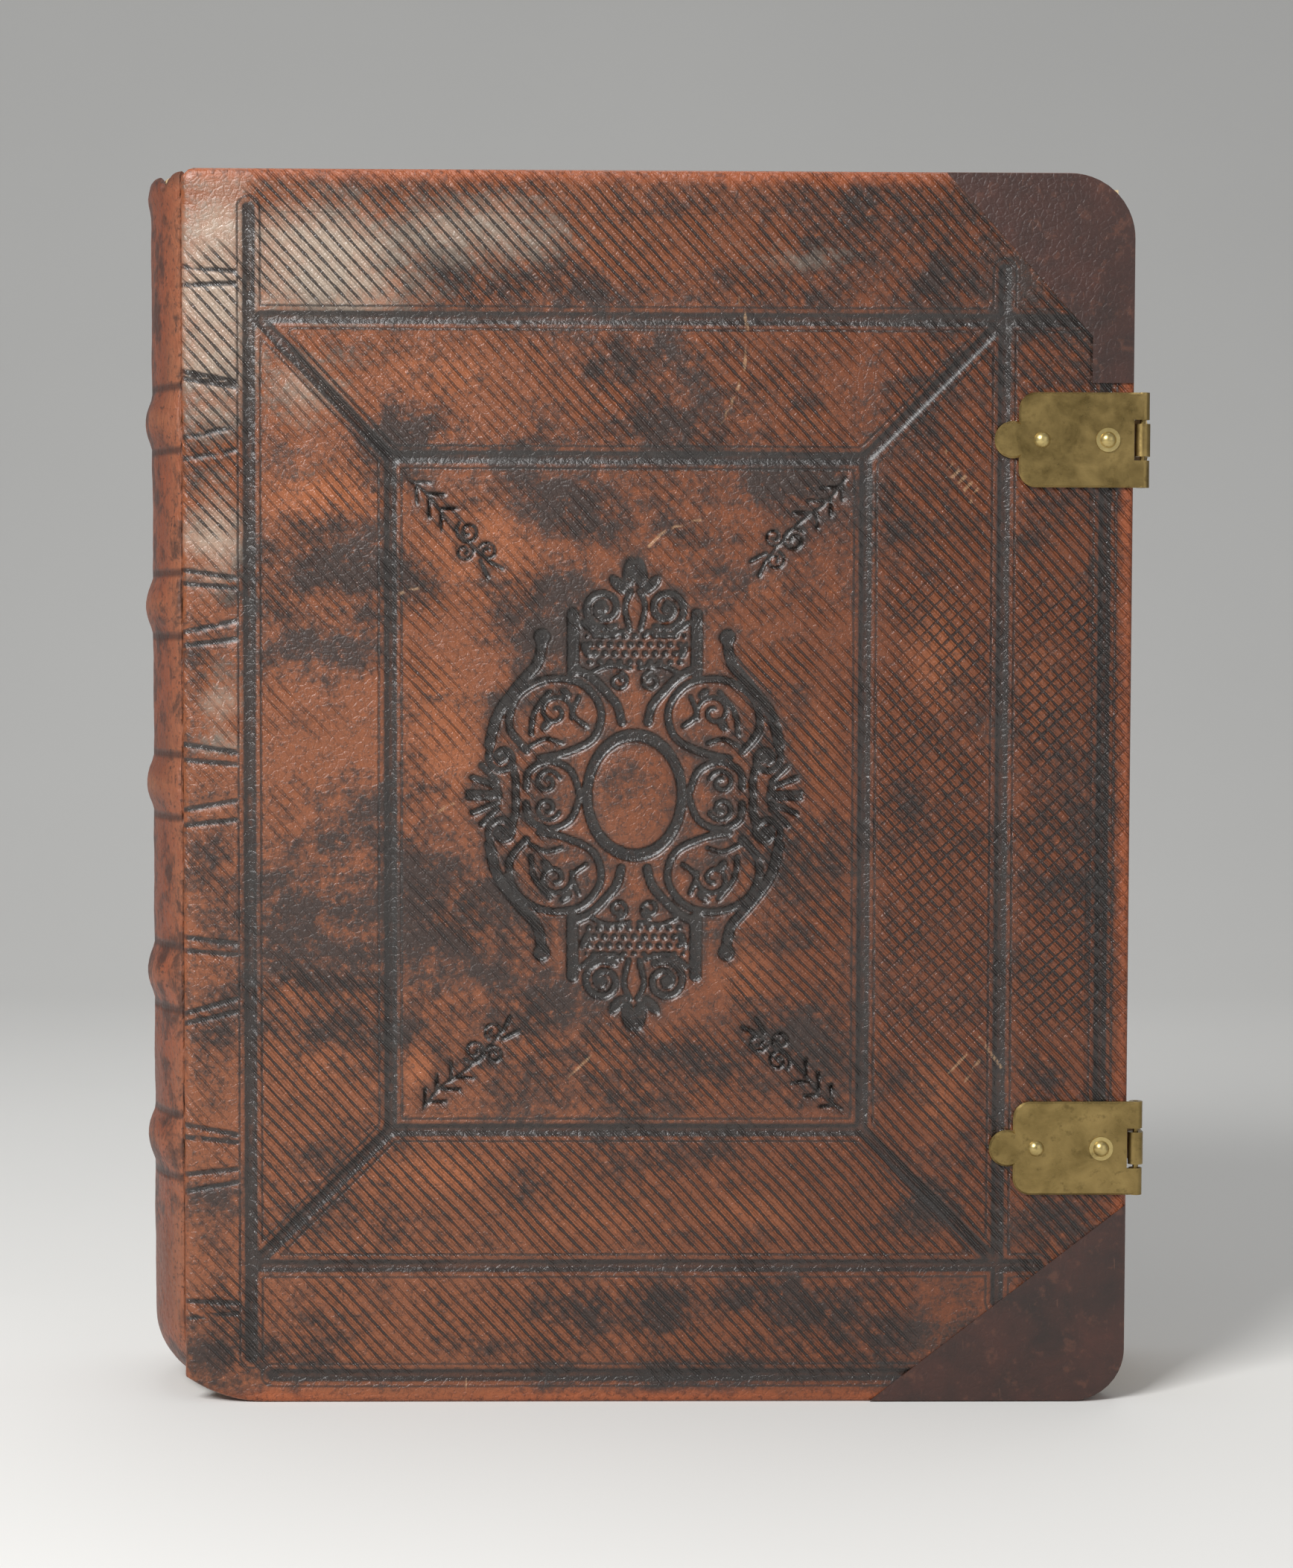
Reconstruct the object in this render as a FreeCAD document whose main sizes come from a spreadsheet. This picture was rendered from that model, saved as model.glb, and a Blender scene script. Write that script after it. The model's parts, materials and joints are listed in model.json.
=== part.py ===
"""An antique leather-bound book with wooden boards, raised bands and two brass clasps.

The book stands upright: the front cover faces -Y, the spine is at -X, the fore-edge with its
clasps at +X, and +Z is up. The sketches use the cover's own frame, with x measured from the
spine joint and z from the tail edge, and each piece is then placed so that the origin lies
under the middle of the book. Pieces of the spine are turned about the spine's own centre.
"""
import FreeCAD, Part
import math
import os

import Sketcher

VEC = FreeCAD.Vector

# Driving sizes in millimetres and degrees
SIZES = {
    # Covers
    "cover_width": 245.0,
    "cover_height": 320.0,
    "leather_thickness": 1.5,
    "board_thickness": 6.0,
    "board_start": 2.2,
    "joint_gap": 0.3,
    "tail_wear_reach": 20.0,
    "tail_wear_rise": 6.3,
    "tail_corner_radius": 14.0,
    "head_corner_radius": 17.0,
    "spine_corner_radius": 3.0,
    "turn_in_width": 16.0,
    "turn_in_thickness": 0.8,
    "pastedown_thickness": 0.4,
    "pastedown_margin": 7.0,
    # Text block and spine
    "text_thickness": 50.0,
    "page_gap": 0.1,
    "head_square": 3.5,
    "tail_square": 3.5,
    "fore_square": 3.5,
    "fore_hollow": 4.0,
    "spine_round": 11.25,
    "shoulder_rise": 5.4,
    "shoulder_slope": 1.0,
    "tail_round": 16.5,
    "tail_round_sweep": 120.0,
    "lining_thickness": 0.6,
    "lining_margin": 1.0,
    "glue_gap": 0.05,
    "headcap_drop": 0.8,
    "headcap_radius": 0.9,
    "tailcap_angle": 52.0,
    "endband_diameter": 2.8,
    "tailband_diameter": 2.4,
    "tailband_angle": 66.0,
    "endband_inset": 1.8,
    # Raised bands, from the tail up
    "band_first": 67.0,
    "band_second": 111.0,
    "band_third": 161.0,
    "band_fourth": 208.0,
    "band_fifth": 256.0,
    "band_breadth": 14.0,
    "band_rise": 1.8,
    "cord_breadth": 8.5,
    "cord_thickness": 2.2,
    # Clasps
    "upper_clasp_drop": 68.7,
    "lower_clasp_height": 67.0,
    "plate_reach": 30.0,
    "plate_overhang": 4.0,
    "plate_breadth": 24.5,
    "plate_thickness": 1.3,
    "plate_chamfer": 0.5,
    "plate_corner": 4.5,
    "lobe_radius": 4.8,
    "lobe_offset": 1.5,
    "ear_diameter": 3.5,
    "notch_breadth": 10.5,
    "notch_inset": 0.2,
    "pin_diameter": 1.4,
    "pin_seat": 0.02,
    "pin_play": 0.05,
    "pin_margin": 0.3,
    "arm_thickness": 1.1,
    "arm_breadth": 13.0,
    "knuckle_breadth": 8.4,
    "arm_taper": 4.0,
    "arm_taper_start": 5.0,
    "lip_overlap": 1.0,
    "lip_thickness": 1.1,
    "latch_gap": 0.15,
    "rest_angle": 2.0,
    # Rivets
    "rivet_head_diameter": 4.2,
    "rivet_head_rise": 1.3,
    "rivet_shank_diameter": 2.4,
    "rivet_hole_play": 0.05,
    "rivet_collar_diameter": 6.2,
    "rivet_collar_thickness": 0.4,
    "rivet_tail_clear": 0.1,
    "inner_rivet_inset": 24.0,
    "outer_rivet_inset": 7.0,
    # Corner patches
    "patch_thickness": 0.6,
    "patch_margin": 0.3,
    "head_patch_length": 49.0,
    "head_patch_drop": 54.0,
    "head_patch_edge": 42.0,
    "head_patch_step": 11.0,
    "tail_patch_length": 67.0,
    "tail_patch_rise": 52.0,
    # Tooling pressed into the leather
    "groove_depth": 0.5,
    "groove_width": 2.2,
    "fine_width": 0.7,
    "fine_offset": 3.0,
    "panel_joint_side": 16.5,
    "panel_fore_side": 34.0,
    "panel_head_side": 38.0,
    "panel_tail_side": 35.8,
    "inner_joint_side": 52.8,
    "inner_fore_side": 69.5,
    "inner_head_side": 73.7,
    "inner_tail_side": 71.7,
    "border_head": 8.0,
    "border_tail": 8.5,
    "border_fore": 7.0,
    "tie_length": 13.0,
    "tie_spread": 5.0,
    "tie_narrowing": 2.5,
    "ornament_shift": 1.8,
    "ornament_side_margin": 18.85,
    "ornament_end_margin": 26.3,
    "sprig_length": 33.0,
    "sprig_inset": 5.5,
}

# Sizes worked out from the driving ones: depths from the middle plane, radii from the spine's
# centre, and reaches from the spine joint
PLACES = {
    "board_inner": "Sizes.text_thickness / 2 + Sizes.page_gap + Sizes.pastedown_thickness",
    "board_outer": "Places.board_inner + Sizes.board_thickness",
    "cover_face": "Places.board_outer + Sizes.leather_thickness",
    "turn_in_face": "Places.board_inner + Sizes.turn_in_thickness",
    "pages_face": "Places.board_inner - Sizes.pastedown_thickness",
    "hinge_depth": "Places.cover_face - Sizes.leather_thickness / 2",
    "half_leather": "Sizes.leather_thickness / 2",
    "board_end": "Sizes.cover_width - Sizes.leather_thickness",
    "board_foot": "Sizes.leather_thickness",
    "board_top": "Sizes.cover_height - Sizes.leather_thickness",
    "wear_radius": "(Sizes.tail_wear_reach^2 + Sizes.tail_wear_rise^2)"
                   " / (2 * Sizes.tail_wear_rise)",
    "board_wear_radius": "Places.wear_radius - Sizes.leather_thickness",
    "board_start_run": "Sizes.tail_wear_reach - Sizes.board_start",
    "board_start_height": "Places.wear_radius - sqrt(Places.board_wear_radius^2"
                          " - Places.board_start_run^2)",
    "leather_start_height": "Places.wear_radius - sqrt(Places.wear_radius^2"
                            " - Places.board_start_run^2)",
    "window_end": "Places.board_end - Sizes.turn_in_width",
    "window_foot": "Places.board_foot + Sizes.turn_in_width",
    "window_top": "Places.board_top - Sizes.turn_in_width",
    "mid_radius": "(Places.hinge_depth^2 + Sizes.spine_round^2) / (2 * Sizes.spine_round)",
    "spine_centre": "Places.mid_radius - Sizes.spine_round",
    "leather_radius": "Places.mid_radius + Places.half_leather",
    "leather_bore": "Places.mid_radius - Places.half_leather",
    "lining_radius": "Places.leather_bore - Sizes.glue_gap",
    "lining_bore": "Places.lining_radius - Sizes.lining_thickness",
    "text_radius": "Places.lining_bore - Sizes.glue_gap",
    "leather_sweep": "2 * (asin(Places.hinge_depth / Places.mid_radius)"
                     " - asin((Places.half_leather + Sizes.joint_gap) / Places.mid_radius)) / 1deg",
    "shoulder_depth": "Sizes.text_thickness / 2 + Sizes.shoulder_rise",
    "shoulder_run": "sqrt(Places.text_radius^2 - Places.shoulder_depth^2)",
    "lining_sweep": "2 * asin(Places.shoulder_depth / Places.text_radius) / 1deg"
                    " - Sizes.lining_margin",
    "endband_sweep": "2 * asin(Sizes.text_thickness / 2 / Places.text_radius) / 1deg"
                     " - Sizes.lining_margin",
    "text_top": "Sizes.cover_height - Sizes.head_square",
    "text_reach": "Sizes.cover_width - Sizes.fore_square - Places.spine_centre",
    "hollow_radius": "((Sizes.text_thickness / 2)^2 + Sizes.fore_hollow^2) / (2 * Sizes.fore_hollow)",
    "round_radius": "Places.text_radius - Sizes.tail_round",
    "round_height": "Sizes.tail_square + Sizes.tail_round",
    "tailcap_inner": "Places.leather_bore - Places.round_radius",
    "tailcap_outer": "Places.leather_radius - Places.round_radius",
    "headcap_height": "Sizes.cover_height - Sizes.headcap_drop",
    "cord_bore": "Places.text_radius + Sizes.glue_gap",
    "cord_hollow": "Places.cord_bore + Sizes.cord_thickness + Sizes.glue_gap - Places.leather_bore",
    "cord_arc": "((Sizes.cord_breadth / 2)^2 + Sizes.cord_thickness^2) / (2 * Sizes.cord_thickness)",
    "hollow_arc": "((Sizes.cord_breadth / 2)^2 + Places.cord_hollow^2) / (2 * Places.cord_hollow)",
    "band_arc": "((Sizes.band_breadth / 2)^2 + Sizes.band_rise^2) / (2 * Sizes.band_rise)",
    "pin_reach": "Sizes.cover_width + Sizes.plate_overhang - Sizes.ear_diameter / 2",
    "plate_face": "Places.cover_face + Sizes.plate_thickness",
    "pin_depth": "Places.plate_face - Sizes.ear_diameter / 2",
    "plate_start": "Sizes.cover_width - Sizes.plate_reach",
    "lobe_rise": "sqrt(Sizes.lobe_radius^2 - Sizes.lobe_offset^2)",
    "notch_start": "Sizes.cover_width - Sizes.notch_inset",
    "arm_inner": "Sizes.pin_diameter / 2 + Sizes.latch_gap",
    "arm_outer": "Places.arm_inner + Sizes.arm_thickness",
    "lip_inner": "2 * Places.pin_depth + Sizes.pin_diameter / 2 + Sizes.latch_gap",
    "lip_outer": "Places.lip_inner + Sizes.lip_thickness",
    "inner_rivet": "Sizes.cover_width - Sizes.inner_rivet_inset",
    "outer_rivet": "Sizes.cover_width - Sizes.outer_rivet_inset",
    "rivet_length": "Places.plate_face - Places.board_inner - Sizes.rivet_tail_clear",
    "spine_reach": "Places.leather_radius + Sizes.band_rise - Places.spine_centre",
    "clasp_reach": "Places.pin_reach + Places.arm_outer * cos(Sizes.rest_angle * 1deg)"
                   " + Places.lip_outer * sin(Sizes.rest_angle * 1deg)",
    "middle": "(Places.clasp_reach - Places.spine_reach) / 2",
}

BANDS = ["band_first", "band_second", "band_third", "band_fourth", "band_fifth"]
CLASPS = {
    "upper": "Sizes.cover_height - Sizes.upper_clasp_drop",
    "lower": "Sizes.lower_clasp_height",
}

doc = FreeCAD.newDocument("antique_book")
sizes = doc.addObject("Spreadsheet::Sheet", "Sizes")
places = doc.addObject("App::VarSet", "Places")
subparts = []


def fill_sheet():
    """Write the driving sizes into the sheet, one alias a row."""
    for row, (name, value) in enumerate(SIZES.items(), start=1):
        sizes.set(f"A{row}", name)
        sizes.set(f"B{row}", str(value))
        sizes.setAlias(f"B{row}", name)
    doc.recompute()


def fill_places():
    """Bind each derived place to its expression, in order."""
    for name, expression in PLACES.items():
        places.addProperty("App::PropertyFloat", name, "Derived")
        places.setExpression(name, expression)
    doc.recompute()


def value(expression):
    """Return an expression's present value as a number."""
    return float(sizes.evalExpression(expression))


def new_body(label, at_spine=False):
    """Return a body that is one sub-part, placed from the joint line or the spine's centre."""
    body = doc.addObject("PartDesign::Body", label)
    body.Label = label
    centre = "Places.spine_centre - Places.middle" if at_spine else "-Places.middle"
    body.setExpression("Placement.Base.x", centre)
    subparts.append(body)
    return body


def sketch_on(body, role, offset=None):
    """Return a new sketch on one of the body's own origin planes, shifted along its normal."""
    plane = next(item for item in body.Origin.OriginFeatures if item.Role == role)
    sketch = body.newObject("Sketcher::SketchObject", "Sketch")
    sketch.AttachmentSupport = [(plane, "")]
    sketch.MapMode = "FlatFace"
    if offset:
        sketch.setExpression("AttachmentOffset.Base.z", offset)
    return sketch


def arc_between(start, end, radius, wide):
    """Return a circle arc from start to end with its centre on the left, turned the short or
    the wide way round."""
    chord = end - start
    left = VEC(-chord.y, chord.x, 0).normalize()
    height = math.sqrt(max(radius ** 2 - (chord.Length / 2) ** 2, 0.0))
    centre = (start + end) / 2 + left * (-height if wide else height)
    first = math.atan2(start.y - centre.y, start.x - centre.x)
    last = math.atan2(end.y - centre.y, end.x - centre.x)
    return Part.ArcOfCircle(Part.Circle(centre, VEC(0, 0, 1), radius), first, last)


def bind(sketch, kind, name, expression, *reference):
    """Add one dimension to a sketch and bind it to an expression."""
    index = sketch.addConstraint(Sketcher.Constraint(kind, *reference, value(expression)))
    sketch.renameConstraint(index, name)
    sketch.setExpression(f"Constraints.{name}", expression)


def outline(sketch, corners, rounds=None, wide=()):
    """Draw a closed outline through corners given as pairs of expressions.

    Args:
        corners: pairs of expressions, in order round the outline.
        rounds: radius expression for each edge that is an arc, by the edge's index. A leading
            "<" bends the arc to the left of the way of travel instead of the right.
        wide: indices of the arcs that turn more than half a circle.
    """
    rounds = rounds or {}
    first = sketch.GeometryCount
    points = [VEC(value(x), value(y), 0) for x, y in corners]
    ends = []
    for index, start in enumerate(points):
        end = points[(index + 1) % len(points)]
        geometry = first + index
        if index not in rounds:
            sketch.addGeometry(Part.LineSegment(start, end), False)
            ends.append((geometry, 1, 2))
            continue
        radius = rounds[index].lstrip("<")
        turned = rounds[index].startswith("<")
        if turned:
            start, end = end, start
        sketch.addGeometry(arc_between(start, end, value(radius), index in wide), False)
        ends.append((geometry, 2, 1) if turned else (geometry, 1, 2))
    for index, (geometry, _, finish) in enumerate(ends):
        following, begin, _ = ends[(index + 1) % len(ends)]
        sketch.addConstraint(Sketcher.Constraint("Coincident", geometry, finish, following, begin))
    for index, (geometry, begin, _) in enumerate(ends):
        bind(sketch, "DistanceX", f"x{geometry}", corners[index][0], geometry, begin)
        bind(sketch, "DistanceY", f"y{geometry}", corners[index][1], geometry, begin)
        if index in rounds:
            bind(sketch, "Radius", f"r{geometry}", rounds[index].lstrip("<"), geometry)


def circle(sketch, x, y, radius):
    """Draw a circle whose centre and radius are expressions."""
    geometry = sketch.addGeometry(
        Part.Circle(VEC(value(x), value(y), 0), VEC(0, 0, 1), value(radius)), False)
    bind(sketch, "DistanceX", f"x{geometry}", x, geometry, 3)
    bind(sketch, "DistanceY", f"y{geometry}", y, geometry, 3)
    bind(sketch, "Radius", f"r{geometry}", radius, geometry)


def pad(body, sketch, length, reversed_way=False, midplane=False):
    """Pad a sketch by a length given as an expression."""
    feature = body.newObject("PartDesign::Pad", "Pad")
    feature.Profile = sketch
    feature.setExpression("Length", length)
    feature.Reversed = reversed_way
    if midplane:
        feature.SideType = "Symmetric"
    return feature


def pocket(body, sketch, length=None, reversed_way=False, midplane=False):
    """Pocket a sketch to a depth given as an expression, or right through."""
    feature = body.newObject("PartDesign::Pocket", "Pocket")
    feature.Profile = sketch
    if length:
        feature.setExpression("Length", length)
    else:
        feature.Type = "ThroughAll"
    feature.Reversed = reversed_way
    if midplane:
        feature.SideType = "Symmetric"
    return feature


def turn(body, sketch, sweep=None, kind="PartDesign::Revolution"):
    """Turn a sketch about its upright axis, right round or evenly to both sides."""
    feature = body.newObject(kind, "Turned")
    feature.Profile = sketch
    feature.ReferenceAxis = (sketch, ["V_Axis"])
    if sweep:
        feature.Midplane = True
        feature.setExpression("Angle", sweep)
    else:
        feature.Angle = 360.0
    return feature


# Text block and spine


def text_block():
    """Make the sewn pages as one solid, backed to two shoulders and hollow at the fore-edge."""
    body = new_body("text_block", at_spine=True)
    half = "Sizes.text_thickness / 2"
    slope = "Sizes.shoulder_slope - Places.shoulder_run"
    section = sketch_on(body, "XY_Plane", "Sizes.tail_square")
    outline(section, [
        ("-Places.shoulder_run", "Places.shoulder_depth"),
        ("-Places.shoulder_run", "-Places.shoulder_depth"),
        (slope, f"-{half}"),
        ("Places.text_reach", f"-{half}"),
        ("Places.text_reach", half),
        (slope, half),
    ], {0: "Places.text_radius", 3: "<Places.hollow_radius"})
    pad(body, section, "Places.text_top - Sizes.tail_square")
    worn = sketch_on(body, "XZ_Plane")
    outline(worn, [
        ("-Places.round_radius", "Sizes.tail_square"),
        ("-Places.round_radius", "0 * Sizes.tail_square"),
        ("-Places.leather_radius", "0 * Sizes.tail_square"),
        ("-Places.leather_radius", "Places.round_height"),
        ("-Places.text_radius", "Places.round_height"),
    ], {4: "Sizes.tail_round"})
    turn(body, worn, "Sizes.tail_round_sweep", "PartDesign::Groove")


def spine_linings():
    """Make the six lining strips, one in each panel between the sewing cords."""
    half_cord = "Sizes.cord_breadth / 2 + Sizes.glue_gap"
    feet = ["Places.round_height"] + [f"Sizes.{band} + {half_cord}" for band in BANDS]
    tops = [f"Sizes.{band} - ({half_cord})" for band in BANDS] + ["Places.text_top"]
    for number, (foot, top) in enumerate(zip(feet, tops), start=1):
        body = new_body(f"spine_lining_{number}", at_spine=True)
        strip = sketch_on(body, "XZ_Plane")
        outline(strip, [
            ("-Places.lining_radius", foot),
            ("-Places.lining_bore", foot),
            ("-Places.lining_bore", top),
            ("-Places.lining_radius", top),
        ])
        turn(body, strip, "Places.lining_sweep")


def sewing_cords():
    """Make the five flat cords that the pages are sewn on, which raise the bands."""
    for number, band in enumerate(BANDS, start=1):
        body = new_body(f"sewing_cord_{number}", at_spine=True)
        section = sketch_on(body, "XZ_Plane")
        outline(section, [
            ("-Places.cord_bore", f"Sizes.{band} - Sizes.cord_breadth / 2"),
            ("-Places.cord_bore", f"Sizes.{band} + Sizes.cord_breadth / 2"),
        ], {1: "Places.cord_arc"})
        turn(body, section, "Places.lining_sweep")


def endbands():
    """Make the rolled bands at head and tail, which sit on the ends of the pages."""
    head = new_body("head_band", at_spine=True)
    roll = sketch_on(head, "XZ_Plane")
    circle(roll, "Sizes.endband_inset - Places.text_radius",
           "Places.text_top + Sizes.glue_gap + Sizes.endband_diameter / 2",
           "Sizes.endband_diameter / 2")
    turn(head, roll, "Places.endband_sweep")
    tail = new_body("tail_band", at_spine=True)
    reach = "(Sizes.tail_round + Sizes.glue_gap + Sizes.tailband_diameter / 2)"
    roll = sketch_on(tail, "XZ_Plane")
    circle(roll, f"-Places.round_radius - {reach} * cos(Sizes.tailband_angle * 1deg)",
           f"Places.round_height - {reach} * sin(Sizes.tailband_angle * 1deg)",
           "Sizes.tailband_diameter / 2")
    turn(tail, roll, "Places.endband_sweep")


def spine_leather():
    """Make the leather over the spine, moulded over the cords and curled in at the tail."""
    body = new_body("spine_leather", at_spine=True)
    section = sketch_on(body, "XZ_Plane")
    cosine = "cos(Sizes.tailcap_angle * 1deg)"
    sine = "sin(Sizes.tailcap_angle * 1deg)"
    corners = [
        (f"-Places.round_radius - Places.tailcap_outer * {cosine}",
         f"Places.round_height - Places.tailcap_outer * {sine}"),
        (f"-Places.round_radius - Places.tailcap_inner * {cosine}",
         f"Places.round_height - Places.tailcap_inner * {sine}"),
        ("-Places.leather_bore", "Places.round_height"),
    ]
    rounds = {1: "<Places.tailcap_inner"}
    for band in BANDS:
        corners.append(("-Places.leather_bore", f"Sizes.{band} - Sizes.cord_breadth / 2"))
        rounds[len(corners) - 1] = "<Places.hollow_arc"
        corners.append(("-Places.leather_bore", f"Sizes.{band} + Sizes.cord_breadth / 2"))
    corners.append(("-Places.leather_bore", "Places.headcap_height"))
    rounds[len(corners) - 1] = "Sizes.headcap_radius"
    corners.append(("-Places.leather_radius", "Places.headcap_height"))
    for band in reversed(BANDS):
        corners.append(("-Places.leather_radius", f"Sizes.{band} + Sizes.band_breadth / 2"))
        rounds[len(corners) - 1] = "Places.band_arc"
        corners.append(("-Places.leather_radius", f"Sizes.{band} - Sizes.band_breadth / 2"))
    corners.append(("-Places.leather_radius", "Places.round_height"))
    rounds[len(corners) - 1] = "Places.tailcap_outer"
    outline(section, corners, rounds)
    turn(body, section, "Places.leather_sweep")
    boards = "Sizes.board_start - 2 * Sizes.joint_gap - Places.spine_centre"
    pare_sides(body, boards, "Places.pages_face - Sizes.joint_gap", "Places.round_height")
    open_cover = "-Places.leather_radius - 2 * Sizes.band_rise"
    body.Tip = pare_sides(body, open_cover, "Places.board_outer - Sizes.glue_gap",
                          "Sizes.cover_height")


def pare_sides(body, start, depth, height):
    """Cut both sides of the spine leather back to a depth, from start towards the pages."""
    cut = sketch_on(body, "XY_Plane")
    end = "0 * Places.leather_radius"
    for way in ("", "-"):
        outline(cut, [
            (start, f"{way}({depth})"),
            (end, f"{way}({depth})"),
            (end, f"{way}(2 * Places.cover_face)"),
            (start, f"{way}(2 * Places.cover_face)"),
        ])
    return pocket(body, cut, height, reversed_way=True)


# Covers


class Cover:
    """One cover's way of facing: signs and depths for the front or the back."""

    def __init__(self, name):
        self.name = name
        self.front = name == "front"

    def depth(self, place):
        """Return a sketch offset for a depth, towards this cover's outside."""
        return place if self.front else f"-{place}"

    def sketch(self, body, place):
        """Return a sketch facing this cover at a depth."""
        return sketch_on(body, "XZ_Plane", self.depth(place))

    def pad(self, body, sketch, length):
        """Pad a sketch outwards from the pages."""
        return pad(body, sketch, length, reversed_way=not self.front)

    def drill(self, body, rows):
        """Cut the rivet holes right through, one at each inset in every row."""
        holes = self.sketch(body, "Places.plate_face")
        for row in rows:
            for reach in ("Places.inner_rivet", "Places.outer_rivet"):
                circle(holes, reach, row, "Sizes.rivet_shank_diameter / 2 + Sizes.rivet_hole_play")
        return pocket(body, holes, reversed_way=not self.front)


def board_outline(sketch):
    """Draw a board's outline, rounded at its corners and worn at the spine's tail."""
    tail = "Sizes.tail_corner_radius - Sizes.leather_thickness"
    head = "Sizes.head_corner_radius - Sizes.leather_thickness"
    outline(sketch, [
        ("Sizes.board_start", "Places.board_start_height"),
        ("Sizes.tail_wear_reach", "Places.board_foot"),
        ("Sizes.cover_width - Sizes.tail_corner_radius", "Places.board_foot"),
        ("Places.board_end", "Sizes.tail_corner_radius"),
        ("Places.board_end", "Sizes.cover_height - Sizes.head_corner_radius"),
        ("Sizes.cover_width - Sizes.head_corner_radius", "Places.board_top"),
        ("Sizes.board_start", "Places.board_top"),
    ], {0: "Places.board_wear_radius", 2: tail, 4: head})


def board(cover):
    """Make a wooden board, its inner face stepped back where the leather is turned in."""
    body = new_body(f"{cover.name}_board")
    main = cover.sketch(body, "Places.turn_in_face")
    board_outline(main)
    cover.pad(body, main, "Sizes.board_thickness - Sizes.turn_in_thickness")
    window = cover.sketch(body, "Places.board_inner")
    outline(window, [
        ("Sizes.board_start", "Places.window_foot"),
        ("Places.window_end", "Places.window_foot"),
        ("Places.window_end", "Places.window_top"),
        ("Sizes.board_start", "Places.window_top"),
    ])
    cover.pad(body, window, "Sizes.turn_in_thickness")
    body.Tip = cover.drill(body, CLASPS.values())


def leather_blank(cover):
    """Make a cover's leather before tooling: face, edges and turn-ins round the board."""
    body = new_body(f"{cover.name}_leather_blank")
    subparts.remove(body)
    body.setExpression("Placement.Base.x", None)
    joint = "0 * Sizes.cover_width"
    width = "Sizes.cover_width"
    height = "Sizes.cover_height"
    tail = "Sizes.tail_corner_radius"
    head = "Sizes.head_corner_radius"
    face = cover.sketch(body, "Places.board_outer")
    outline(face, [
        (joint, "Sizes.tail_wear_rise"),
        ("Sizes.tail_wear_reach", f"0 * {height}"),
        (f"{width} - {tail}", f"0 * {height}"),
        (width, tail),
        (width, f"{height} - {head}"),
        (f"{width} - {head}", height),
        ("Sizes.spine_corner_radius", height),
        (joint, f"{height} - Sizes.spine_corner_radius"),
    ], {0: "Places.wear_radius", 2: tail, 4: head, 6: "Sizes.spine_corner_radius"})
    cover.pad(body, face, "Sizes.leather_thickness")
    joint_roll(cover, body)
    leather_edge(cover, body)
    leather_turn_ins(cover, body)
    body.Tip = cover.drill(body, CLASPS.values())
    return body


def joint_roll(cover, body):
    """Pad the leather's rounded end on the hinge line, so that it turns without catching."""
    depth = "-Places.hinge_depth" if cover.front else "Places.hinge_depth"
    roll = sketch_on(body, "XY_Plane", "Sizes.tail_wear_rise")
    circle(roll, "0 * Sizes.cover_width", depth, "Places.half_leather")
    pad(body, roll, "Sizes.cover_height - Sizes.spine_corner_radius - Sizes.tail_wear_rise")


def outer_run(corner_height):
    """Return the corners and arcs of the leather's outside from the joint round to the head."""
    width = "Sizes.cover_width"
    height = "Sizes.cover_height"
    tail = "Sizes.tail_corner_radius"
    head = "Sizes.head_corner_radius"
    corners = [
        ("Sizes.board_start", corner_height),
        ("Sizes.tail_wear_reach", f"0 * {height}"),
        (f"{width} - {tail}", f"0 * {height}"),
        (width, tail),
        (width, f"{height} - {head}"),
        (f"{width} - {head}", height),
        ("Sizes.board_start", height),
    ]
    return corners, {0: "Places.wear_radius", 2: tail, 4: head}


def leather_edge(cover, body):
    """Pad the leather that covers the board's three outer edges."""
    tail = "Sizes.tail_corner_radius"
    head = "Sizes.head_corner_radius"
    corners, rounds = outer_run("Places.leather_start_height")
    corners += [
        ("Sizes.board_start", "Places.board_top"),
        (f"Sizes.cover_width - {head}", "Places.board_top"),
        ("Places.board_end", f"Sizes.cover_height - {head}"),
        ("Places.board_end", tail),
        (f"Sizes.cover_width - {tail}", "Places.board_foot"),
        ("Sizes.tail_wear_reach", "Places.board_foot"),
        ("Sizes.board_start", "Places.board_start_height"),
    ]
    rounds |= {
        8: f"<{head} - Sizes.leather_thickness",
        10: f"<{tail} - Sizes.leather_thickness",
        12: "<Places.board_wear_radius",
    }
    rim = cover.sketch(body, "Places.board_inner")
    outline(rim, corners, rounds)
    cover.pad(body, rim, "Sizes.board_thickness")


def leather_turn_ins(cover, body):
    """Pad the leather that is turned in over the board's inner face."""
    corners, rounds = outer_run("Places.leather_start_height")
    corners += [
        ("Sizes.board_start", "Places.window_top"),
        ("Places.window_end", "Places.window_top"),
        ("Places.window_end", "Places.window_foot"),
        ("Sizes.board_start", "Places.window_foot"),
    ]
    lip = cover.sketch(body, "Places.board_inner")
    outline(lip, corners, rounds)
    cover.pad(body, lip, "Sizes.turn_in_thickness")


def pastedown(cover):
    """Make the paper pasted over the board's inner face."""
    body = new_body(f"{cover.name}_pastedown")
    sheet = cover.sketch(body, "Places.pages_face")
    outline(sheet, [
        ("Sizes.board_start", "Sizes.pastedown_margin"),
        ("Sizes.cover_width - Sizes.pastedown_margin", "Sizes.pastedown_margin"),
        ("Sizes.cover_width - Sizes.pastedown_margin",
         "Sizes.cover_height - Sizes.pastedown_margin"),
        ("Sizes.board_start", "Sizes.cover_height - Sizes.pastedown_margin"),
    ])
    cover.pad(body, sheet, "Sizes.pastedown_thickness")


# Tooling


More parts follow.
